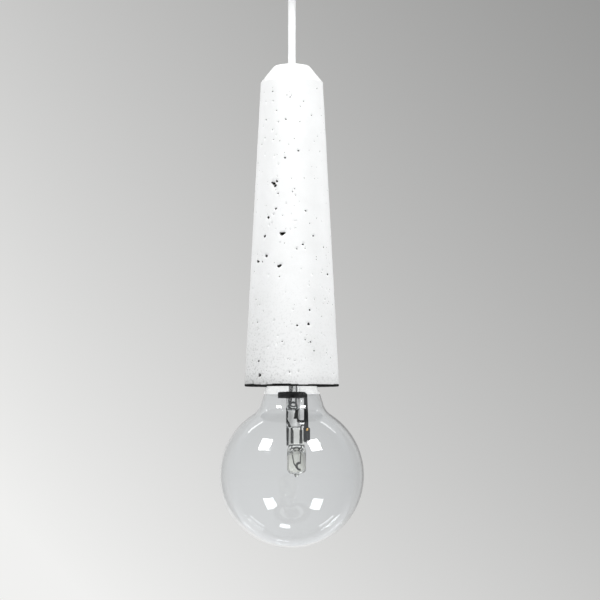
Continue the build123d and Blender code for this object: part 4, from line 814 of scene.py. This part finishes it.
def capsule():
    """Quartz tube, pressed flat at the top round the foils, drawn to a seal-off tip below."""
    bm = bmesh.new()
    pinch_x, pinch_y = 5.0 * MM, 1.6 * MM
    rings = []
    for share, grow in ((0.0, 0.86), (0.02, 0.95), (0.06, 1.0), (0.5, 1.0), (0.86, 1.0)):
        z = PINCH_TOP + (PINCH_BOTTOM - PINCH_TOP) * share
        rings.append(capsule_ring(bm, z, pinch_x * grow, pinch_y * grow, 5.0))
    blend_steps = 7
    for k in range(1, blend_steps + 1):
        t = k / blend_steps
        ease = t * t * (3 - 2 * t)
        z = PINCH_BOTTOM + 1.6 * MM - PINCH_BLEND * t
        half_x, half_y = (half + (CAPSULE_R - half) * ease for half in (pinch_x, pinch_y))
        rings.append(capsule_ring(bm, z, half_x, half_y, 5.0 - 3.0 * ease))
    low = CAPSULE_END + CAPSULE_DRAWN
    rings.append(capsule_ring(bm, low, CAPSULE_R))
    dome_steps = 8
    for k in range(1, dome_steps):
        a = math.pi / 2 * k / dome_steps
        r = CAPSULE_R * math.cos(a) ** 0.8
        rings.append(capsule_ring(bm, low - CAPSULE_DOME * math.sin(a), r))
    for r, drop in ((1.9, 3.7), (1.5, 4.4), (1.1, 4.9), (0.5, 5.15)):
        rings.append(capsule_ring(bm, low - drop * MM, r * MM))
    for ring in rings:
        for vertex in ring:
            share = min(1.0, max(0.0, (low - 0.2 * MM - vertex.co.z) / (1.5 * MM)))
            vertex.co += noise.noise_vector(vertex.co * 620) * (CAPSULE_LUMPS * share)
    bridge_rings(bm, rings, capped=True)
    hollow = []
    inner_r = CAPSULE_R - CAPSULE_WALL
    for drop, r in ((1.5, 0.2), (1.9, 1.8), (2.8, 3.4), (4.2, 4.7)):
        hollow.append(capsule_ring(bm, PINCH_BOTTOM - drop * MM, r * MM))
    hollow.append(capsule_ring(bm, PINCH_BOTTOM - 6.0 * MM, inner_r))
    hollow.append(capsule_ring(bm, low + 0.3 * MM, inner_r))
    for drop, r in ((1.0, 4.9), (1.9, 3.9), (2.5, 2.4), (2.7, 0.6)):
        hollow.append(capsule_ring(bm, low - drop * MM, r * MM))
    return mesh_object("capsule_envelope", bm, bridge_rings(bm, hollow, capped=True))


finish_piece(capsule(), LAMP, quartz, ["capsule_glass"])


def stem():
    """Glass stem: flared into the neck, a hollow tube, and pressed round the wires at its foot."""
    outline = [
        (0.0, STEM_BOTTOM),
        *offsets(STEM_R, STEM_BOTTOM, [(-1.4, 0), (-0.3, 0.9), (0, 2.4)]),
        *offsets(STEM_R, STEM_TOP, [(0, -9), (0.3, -6.5), (1.4, -4), (3.4, -1.6)]),
        (9.8 * MM, STEM_TOP),
        (8.2 * MM, STEM_TOP),
        *offsets(STEM_R, STEM_TOP, [(2.2, -1.9), (-0.2, -4.2), (-1.2, -9)]),
        *offsets(STEM_R, STEM_BOTTOM, [(-1.2, 14), (-2.2, 11.2)]),
        (0.0, STEM_BOTTOM + 10.4 * MM),
    ]
    bm = bmesh.new()

    def uneven(radius, angle, z):
        swell = noise.noise(Vector((math.cos(angle), math.sin(angle), z * 260)))
        return radius * (1 + 0.075 * swell * (0.3 if z > STEM_TOP - 10 * MM else 1.0)), z

    line = smooth_line([Vector((r, z, 0)) for r, z in outline], 5)
    rows = [(max(p.x, 0.0), p.y) for p in line]
    rows[0], rows[-1] = outline[0], outline[-1]
    bridge_rings(bm, turned_rings(bm, rows, 64, (STEM_X, 0.0), uneven))
    return mesh_object("stem_tube", bm)


lead_glass = glass_material(
    "lead_glass",
    ior=1.53,
    tint=(0.965, 0.97, 0.96),
    rough=0.015,
    ripple=0.16 * MM,
    waves=230,
    let_through=(0.9, 0.9, 0.89),
    edge=(0.5, 0.85),
    edge_shade_tint=(0.34, 0.34, 0.33),
)
finish_piece(stem(), LAMP, lead_glass, ["stem_glass"])

blued_steel = worked("blued_steel", (0.01, 0.01, 0.01), (0.004, 0.004, 0.004), 1400, (0.45, 0.65), 0.02 * MM)
drawn_wire = worked(
    "drawn_wire",
    (0.025, 0.024, 0.022),
    (0.006, 0.006, 0.005),
    2500,
    (0.35, 0.6),
    0.02 * MM,
    (1, 1, 0.1),
    Metallic=0.4,
)
tungsten = worked(
    "tungsten", (0.05, 0.05, 0.048), (0.015, 0.015, 0.015), 4000, (0.35, 0.6), 0.01 * MM, Metallic=0.8
)
moly_foil = worked(
    "molybdenum_foil", (0.07, 0.07, 0.068), (0.008, 0.008, 0.008), 1600, (0.3, 0.65), 0.08 * MM, Metallic=0.7
)
gold_weld = worked(
    "gold_weld", (0.95, 0.62, 0.22), (0.75, 0.42, 0.12), 1800, (0.12, 0.3), 0.03 * MM, Metallic=1.0
)

WIRE_R = 0.5 * MM
LEFT_WIRE_R = 0.68 * MM
CRIMP_R = 0.85 * MM


def at(x, y, z):
    """Point given in millimetres: x, y from the axis and z from the concrete's lower rim."""
    return Vector((x * MM, y * MM, FOOT_Z + z * MM))


def ragged(points, steps, seed, kink=0.22 * MM):
    """Line through the points with the small kinks of a hand-set wire."""
    line = smooth_line(points, steps)
    for i, point in enumerate(line[1:-1], 1):
        point.x += kink * noise.noise(Vector((i * 0.9, seed, 0)))
        point.y += kink * noise.noise(Vector((i * 0.9, seed, 9)))
    return line


def wire_left():
    """Left lead: down the stem's side, kinked, and into the pinch."""
    points = [(-1.4, 0, 14), (-1.2, 0.2, 2), (-1.6, 0.4, -7), (-2.2, 0.8, -10.5), (-1.8, 0.6, -13.5)]
    points += [(-2.5, 0.4, -17), (-1.8, 0.3, -19.5), (-2.3, 0.2, -22.5), (-1.4, 0, -25.5)]
    points += [(-0.4, 0, -28.2), (LEFT_PIN_X / MM, 0, -30.4)]
    return ragged([at(*point) for point in points], 5, 1.0, 0.55 * MM)


def wire_curl():
    """Slack of the middle lead, rolled into a loop and a half inside the stem."""
    points = [at(0.9, 0.0, 14.0), at(0.6, 0.0, 2.0), at(-0.4, 0.3, -6.0)]
    turns = 11
    for k in range(turns):
        a = math.tau * 1.5 * k / (turns - 1) + 2.2
        z = -12.4 - 0.28 * k + 2.0 * math.sin(a)
        points.append(at(0.7 + 2.3 * math.cos(a), 1.2 * math.sin(a * 0.5), z))
    points += [at(2.4, 0.2, -18.4), at(1.6, 0.0, -22.6)]
    return ragged(points, 6, 4.0)


def wire_right():
    """Right lead: down the stem and out sideways to the strap."""
    points = [(3, 0, 14), (2.8, -0.2, 2), (3.3, 0.3, -5), (2.7, -0.5, -11), (3.3, -1, -15.5)]
    points += [(2.9, -0.6, -20), (3.2, 0, -23.6), (4.2, 0, -24.3), (8.6, 0, -24.3)]
    return ragged([at(*point) for point in points], 7, 8.0)


def crimped(share):
    """Radius of the right lead: a thicker sleeve is crimped on the end that meets the strap."""
    return WIRE_R + (CRIMP_R - WIRE_R) * min(1.0, max(0.0, (share - 0.74) / 0.02))


left_leads = tubes("lead_left", [wire_left(), wire_curl()], LEFT_WIRE_R)
finish_piece(left_leads, LAMP, drawn_wire, ["lead_wire_left"])
right_lead = tubes("lead_right", [wire_right()], crimped)
finish_piece(right_lead, LAMP, drawn_wire, ["lead_wire_right"])
pin_points = [(RIGHT_PIN_X / MM, -30.4), (RIGHT_PIN_X / MM, -28.0)]
pin_points += [(RIGHT_PIN_X / MM + 0.5, -26.9), (STRAP_X / MM - 1.6, -26.7)]
pin_line = smooth_line([at(x, 0, z) for x, z in pin_points], 5)
finish_piece(tubes("burner_pin", [pin_line], WIRE_R), LAMP, drawn_wire, ["capsule_pin"])

SHIELD_HEIGHT = 4.1 * MM
SHIELD_SHEET = 0.4 * MM
shield_outline = rounded(
    [
        (STEM_R + 0.4 * MM, SHIELD_TOP, 0),
        (SHIELD_R, SHIELD_TOP, 1.2 * MM),
        (SHIELD_R, SHIELD_TOP - SHIELD_HEIGHT, 0.15 * MM),
        (SHIELD_R - SHIELD_SHEET, SHIELD_TOP - SHIELD_HEIGHT, 0.15 * MM),
        (SHIELD_R - SHIELD_SHEET, SHIELD_TOP - SHIELD_SHEET, 0.8 * MM),
        (STEM_R + 0.4 * MM, SHIELD_TOP - SHIELD_SHEET, 0),
    ]
)
finish_piece(turned("shield_dish", shield_outline), LAMP, blued_steel, ["heat_shield"])

strap_outline = [(-1.5, -28.7), (1.5, -28.7), (1.35, -22), (0.9, -12), (0.7, -6.6), (-0.2, -5.6)]
strap_outline += [(-1.3, -6), (-1.6, -9.2), (-1.5, -16), (-1.35, -23.6), (-1.5, -24.2)]
strap_outline = offsets(STRAP_X, FOOT_Z, strap_outline)
strap = plate("strap_plate", strap_outline, 0.7 * MM, bevel=0.12 * MM)
finish_piece(strap, LAMP, blued_steel, ["support_strap"])

BLOCK_X = 9.75 * MM
block_outline = [(-2.3, -28.4), (2, -28.4), (2.3, -29.4), (2.3, -36.6), (0.9, -38.3), (-2.3, -37.6)]
block_outline = offsets(BLOCK_X, FOOT_Z, block_outline)
block = plate("strap_clamp", block_outline, 1.8 * MM, bevel=0.25 * MM)
finish_piece(block, LAMP, blued_steel, ["clamp_block"])


def weld():
    """Flattened, slightly lumpy bead on the clamp's front."""
    bm = bmesh.new()
    bmesh.ops.create_icosphere(bm, subdivisions=4, radius=0.95 * MM)
    for vertex in bm.verts:
        vertex.co *= 1 + 0.10 * noise.noise(vertex.co * 1400)
        vertex.co.y *= 0.6
        vertex.co += Vector((STRAP_X + 0.6 * MM, -0.95 * MM, FOOT_Z - 29.7 * MM))
    return mesh_object("weld_spot", bm)


finish_piece(weld(), LAMP, gold_weld, ["weld_bead"])

CLIP_X = CAPSULE_X - 5.65 * MM
clip_outline = [
    *offsets(CLIP_X, PINCH_TOP, [(-1.15, 0.4), (0.55, 0.6), (0.6, -1.0)]),
    *offsets(CLIP_X, PINCH_BOTTOM, [(0.45, 0.6), (-0.9, 0.3)]),
    *offsets(CLIP_X, PINCH_TOP, [(-1.05, -3.0)]),
]
clip = plate("pinch_clip_bar", clip_outline, 1.9 * MM, bevel=0.18 * MM)
finish_piece(clip, LAMP, blued_steel, ["pinch_clip"])


def foils():
    """Two thin foils sealed in the pinch, with feathered, slightly buckled edges."""
    bm = bmesh.new()
    steps = 22
    for centre in (LEFT_PIN_X, RIGHT_PIN_X):
        rings = []
        for k in range(steps + 1):
            z = PINCH_TOP - 1.2 * MM + (PINCH_BOTTOM - PINCH_TOP + 2.7 * MM) * k / steps
            ruffle = 0.12 * MM * noise.noise(Vector((centre * 900, 0, z * 900)))
            half = 0.95 * MM + 0.18 * MM * noise.noise(Vector((centre * 1400, 7, z * 1500)))
            corners = ((-half, -0.14), (half, -0.14), (half, 0.14), (-half, 0.14))
            rings.append([bm.verts.new((centre + x, y * MM + ruffle, z)) for x, y in corners])
        bridge_rings(bm, rings, capped=True)
    return mesh_object("seal_foils", bm)


finish_piece(foils(), LAMP, moly_foil, ["pinch_foils"])

LEG_R = 0.34 * MM
LEFT_LEG = [(0.2, -40), (0.2, -44), (0.8, -48.5), (1.7, -52.6), (3.4, -54.8)]
RIGHT_LEG = [(6, -40), (6, -44), (5.8, -48), (5.6, -51.4)]
legs = [smooth_line([at(x, 0, z) for x, z in leg], 6) for leg in (LEFT_LEG, RIGHT_LEG)]
finish_piece(tubes("burner_legs", legs, LEG_R), LAMP, tungsten, ["filament_legs"])

COIL_MIDDLE = at(5.3, 0, -53.8)
COIL_BOW = 2.3 * MM
COIL_START = math.radians(80)
COIL_END = math.radians(285)
COIL_R = 0.55 * MM
COIL_WIRE_R = 0.3 * MM


def coil():
    """Filament: a fine helix bowed like a C, its ends at the legs."""
    arc = [COIL_START + (COIL_END - COIL_START) * k / 8 for k in range(9)]
    bow = [COIL_MIDDLE + Vector((math.cos(a), 0, math.sin(a))) * COIL_BOW for a in arc]
    hang = smooth_line(bow, 30)
    turns = 13
    line = []
    for i, point in enumerate(hang):
        along = (hang[min(i + 1, len(hang) - 1)] - hang[max(i - 1, 0)]).normalized()
        side = Vector((0, 1, 0))
        up = along.cross(side)
        a = math.tau * turns * i / (len(hang) - 1)
        line.append(point + (side * math.cos(a) + up * math.sin(a)) * COIL_R)
    return tubes("coiled_filament", [line], COIL_WIRE_R, 6)


finish_piece(coil(), LAMP, tungsten, ["filament"])

# ---- finishes of the CAD parts

BRUSHED = (1, 0.15, 1)  # grain drawn out along Y
SPUN = (1, 1, 6)  # and packed along Z
zinc = worked(
    "zinc_plate", (0.60, 0.61, 0.62), (0.42, 0.43, 0.45), 500, (0.25, 0.45), 0.02 * MM, BRUSHED, Metallic=1.0
)
brass = worked(
    "turned_brass", (0.83, 0.62, 0.28), (0.62, 0.44, 0.17), 900, (0.2, 0.4), 0.02 * MM, Metallic=1.0
)
enamel = worked(
    "white_enamel", (0.88, 0.88, 0.87), (0.83, 0.83, 0.82), 1400, (0.25, 0.4), 0.03 * MM, Coat_Weight=0.3
)
nylon = worked("white_nylon", (0.84, 0.84, 0.82), (0.77, 0.77, 0.74), 1800, (0.42, 0.6), 0.03 * MM)
bakelite = worked("black_bakelite", (0.022, 0.021, 0.02), (0.012, 0.012, 0.012), 1200, (0.3, 0.5), 0.03 * MM)
porcelain = worked(
    "glazed_porcelain", (0.86, 0.85, 0.82), (0.78, 0.77, 0.73), 400, (0.12, 0.25), 0.03 * MM, Coat_Weight=0.5
)
rubber = worked("seat_rubber", (0.03, 0.03, 0.03), (0.015, 0.015, 0.015), 2200, (0.7, 0.9), 0.06 * MM)
aluminium = worked(
    "rolled_aluminium",
    (0.82, 0.82, 0.83),
    (0.64, 0.64, 0.66),
    800,
    (0.2, 0.42),
    0.02 * MM,
    SPUN,
    Metallic=1.0,
)
solder = worked("solder", (0.62, 0.62, 0.64), (0.42, 0.42, 0.45), 1100, (0.25, 0.5), 0.08 * MM, Metallic=1.0)
vitrite = worked("vitrite", (0.012, 0.012, 0.016), (0.03, 0.03, 0.035), 600, (0.06, 0.2), 0.03 * MM)
spring_steel = worked(
    "spring_steel", (0.55, 0.55, 0.57), (0.38, 0.38, 0.4), 2600, (0.2, 0.35), 0.01 * MM, Metallic=1.0
)
brown_pvc = worked("brown_insulation", (0.20, 0.085, 0.04), (0.13, 0.055, 0.025), 900, (0.35, 0.5), 0.02 * MM)
blue_pvc = worked("blue_insulation", (0.04, 0.13, 0.42), (0.025, 0.08, 0.3), 900, (0.35, 0.5), 0.02 * MM)


def earth_material():
    """Green insulation with a yellow stripe."""
    mat, shader = new_material("striped_insulation")
    sockets = {"Vector": place(mat), "Scale": 90}
    stripes = add_node(mat, "ShaderNodeTexWave", sockets, wave_type="BANDS", bands_direction="Z")
    edge = remap(mat, stripes.outputs["Fac"], 0.45, 0.55)
    colour = blend_colours(mat, edge, (0.07, 0.30, 0.05), (0.85, 0.68, 0.05))
    fine = grain(mat, 900, 3.0)
    feed(mat, shader, {"Base Color": colour, "Roughness": spread(mat, fine, 0.35, 0.5)})
    bumped(mat, shader, fine, 0.02 * MM)
    return mat


CAD_FINISHES = [
    (zinc, ["mounting_bracket", "canopy_grip_screw", "canopy_lock_nut", "terminal_block_screws"]),
    (zinc, ["post_nuts", "load_washer", "holder_grip_screw", "lampholder_terminal_screws"]),
    (brass, ["canopy_side_screws", "terminal_inserts", "earth_tag"]),
    (brass, ["lampholder_terminals", "side_contact", "centre_contact"]),
    (enamel, ["canopy_cup"]),
    (nylon, ["canopy_cord_grip", "terminal_block", "swivel_ball", "holder_cord_grip"]),
    (earth_material(), ["earth_lead"]),
    (cord_material(), ["cord_tail"]),
    (brown_pvc, ["canopy_live_core", "holder_live_core"]),
    (blue_pvc, ["canopy_neutral_core", "holder_neutral_core"]),
    (aluminium, ["liner_tube", "cap_shell"]),
    (rubber, ["seat_gasket"]),
    (bakelite, ["lampholder_cap", "lampholder_sleeve"]),
    (porcelain, ["lampholder_insert"]),
    (solder, ["cap_contact"]),
    (vitrite, ["cap_insulator"]),
]
for material, node_names in CAD_FINISHES:
    for node_name in node_names:
        for material_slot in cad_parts[node_name].material_slots:
            material_slot.link = "OBJECT"
            material_slot.material = material

# ---- centre contact's spring

SPRING_WIRE_R = 0.25 * MM
SPRING_TURNS = 4


def contact_coil():
    """Compression spring between the insert and the centre contact."""
    low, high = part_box("contact_spring")
    radius = (high.x - low.x) / 2 - SPRING_WIRE_R
    steps = 28 * SPRING_TURNS
    line = []
    for k in range(steps + 1):
        a = math.tau * SPRING_TURNS * k / steps
        z = low.z + SPRING_WIRE_R + (high.z - low.z - 2 * SPRING_WIRE_R) * k / steps
        line.append(Vector((radius * math.cos(a), radius * math.sin(a), z)))
    return tubes("contact_coil", [line], SPRING_WIRE_R, 10)


spring = finish_piece(contact_coil(), "pendant", spring_steel, ["contact_spring"])
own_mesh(spring)

# ---- stage and lights

ROOM = 0.46  # brightness of the room round the lit part of the wall
FRONT = 0.60  # brightness of the room behind the camera
WALL_Y = 2.2
WALL_HALF = 3.4
WALL_TOP = 2.6
WALL_TONE = -0.56  # logarithm of the wall's brightness, WALL_MIDDLE below the ceiling
WALL_MIDDLE = 0.13
WALL_ACROSS = -0.53  # how that changes per metre to the right, and per metre up
WALL_UP = -0.52
WALL_CORNER = -0.36  # and the share in which the two act on each other
WALL_BRIGHTEST = 0.88
FLOOR_Z = -1.7
FLOOR_HALF = 14.0


def flat_sheet(name, corners, material):
    """Staged sheet, no part of the object."""
    mesh = bpy.data.meshes.new(name)
    mesh.from_pydata(corners, [], [tuple(range(len(corners)))])
    made = bpy.data.objects.new(name, mesh)
    made.data.materials.append(material)
    scene.collection.objects.link(made)
    return made


def wall_material():
    """Plain wall, paler towards the lower left, as a studio wall lit from that side."""
    mat, shader = new_material("wall")
    mat.node_tree.nodes.remove(shader)
    x, _, z = axes_of(mat, place(mat))
    across = times(mat, x, WALL_ACROSS)
    up = times(mat, plus(mat, z, WALL_MIDDLE), WALL_UP)
    corner = times(mat, times(mat, across, up), WALL_CORNER)
    slope = plus(mat, plus(mat, across, up), corner)
    tone = maths(mat, "EXPONENT", plus(mat, slope, WALL_TONE))
    beside = maths(mat, "SUBTRACT", 1.0, remap(mat, maths(mat, "ABSOLUTE", x), 0.62, 1.3))
    below = maths(mat, "SUBTRACT", 1.0, remap(mat, z, 0.46, 1.2))
    tone = plus(mat, times(mat, maths(mat, "SUBTRACT", tone, ROOM), times(mat, beside, below)), ROOM)
    skirting = remap(mat, z, -0.75, -1.3, 0.0, 0.10)
    tone = plus(mat, maths(mat, "MINIMUM", tone, WALL_BRIGHTEST), skirting)
    glow = add_node(mat, "ShaderNodeEmission", {"Color": (1.0, 1.0, 0.99), "Strength": tone})
    show(mat, glow.outputs["Emission"])
    return mat


wall_corners = [(-WALL_HALF, FLOOR_Z), (WALL_HALF, FLOOR_Z), (WALL_HALF, WALL_TOP), (-WALL_HALF, WALL_TOP)]
flat_sheet("wall", [(x, WALL_Y, z) for x, z in wall_corners], wall_material())


def floor_material():
    """Pale floor, brightest below the light and fading into the room's tone all round."""
    mat, shader = new_material("floor_paint", Base_Color=(0.06, 0.06, 0.06))
    fine = grain(mat, 8, 4.0)
    where = place(mat)
    far = add_node(mat, "ShaderNodeVectorMath", {0: where}, operation="LENGTH").outputs["Value"]
    y = axes_of(mat, where)[1]
    room = remap(mat, maths(mat, "DIVIDE", y, far), 0.1, -1.0, ROOM, FRONT)
    glow = maths(mat, "EXPONENT", times(mat, plus(mat, far, FLOOR_Z), -1.1))
    behind = remap(mat, y, 0.7, 1.7, 0.1, 1.7)
    brightest = remap(mat, y, 0.9, 1.5, 0.82, 1.0)
    tone = maths(mat, "MINIMUM", plus(mat, room, times(mat, glow, behind)), brightest)
    tinted = blend_colours(mat, spread(mat, fine), (0.96, 0.98, 1.0), (0.94, 0.96, 0.985))
    sockets = {"Emission Color": tinted, "Emission Strength": tone}
    feed(mat, shader, {"Roughness": spread(mat, fine, 0.75, 0.9), **sockets})
    return mat


floor_corners = [(x * FLOOR_HALF, y * FLOOR_HALF, FLOOR_Z) for x, y in ((-1, -1), (1, -1), (1, 1), (-1, 1))]
flat_sheet("floor", floor_corners, floor_material())

world = bpy.data.worlds.new("studio")
world.use_nodes = True
sky = world.node_tree.nodes["Background"]
ahead = axes_of(world, add_node(world, "ShaderNodeTexCoord").outputs["Generated"])[1]
brightness = remap(world, ahead, 0.1, -1.0, ROOM, FRONT)
feed(world, sky, {"Color": (0.96, 0.98, 1.0), "Strength": brightness})
scene.world = world

GLOBE_CENTRE = Vector((0, 0, GLOBE_Z))
LIGHT_DISTANCE = 1.5


def softbox(name, direction, width, height, power, roll=0.0):
    """Lamp in that direction from the globe, facing it, its width across the line of sight, then rolled."""
    towards = Vector(direction).normalized()
    data = bpy.data.lights.new(name, "AREA")
    data.shape = "RECTANGLE"
    data.size = width
    data.size_y = height
    data.energy = power
    made = bpy.data.objects.new(name, data)
    across = Vector((0, -1, 0)).cross(towards).normalized()
    axes = Matrix((across, towards.cross(across), towards)).transposed()
    turn = Matrix.Rotation(math.radians(roll), 4, "Z")
    made.matrix_world = Matrix.Translation(GLOBE_CENTRE + towards * LIGHT_DISTANCE) @ axes.to_4x4() @ turn
    scene.collection.objects.link(made)


softbox("key_right", (0.532, -0.448, 0.706), 0.46, 0.46, 12.1, -35)
softbox("key_left", (-0.589, -0.375, 0.698), 0.46, 0.46, 11.1, 35)
softbox("back_right", (0.558, 0.40, 0.726), 0.42, 0.10, 0.3)
softbox("back_left", (-0.558, 0.40, 0.726), 0.42, 0.10, 0.4)
softbox("overhead", (0.133, 0.116, 0.984), 0.30, 0.24, 1.6)
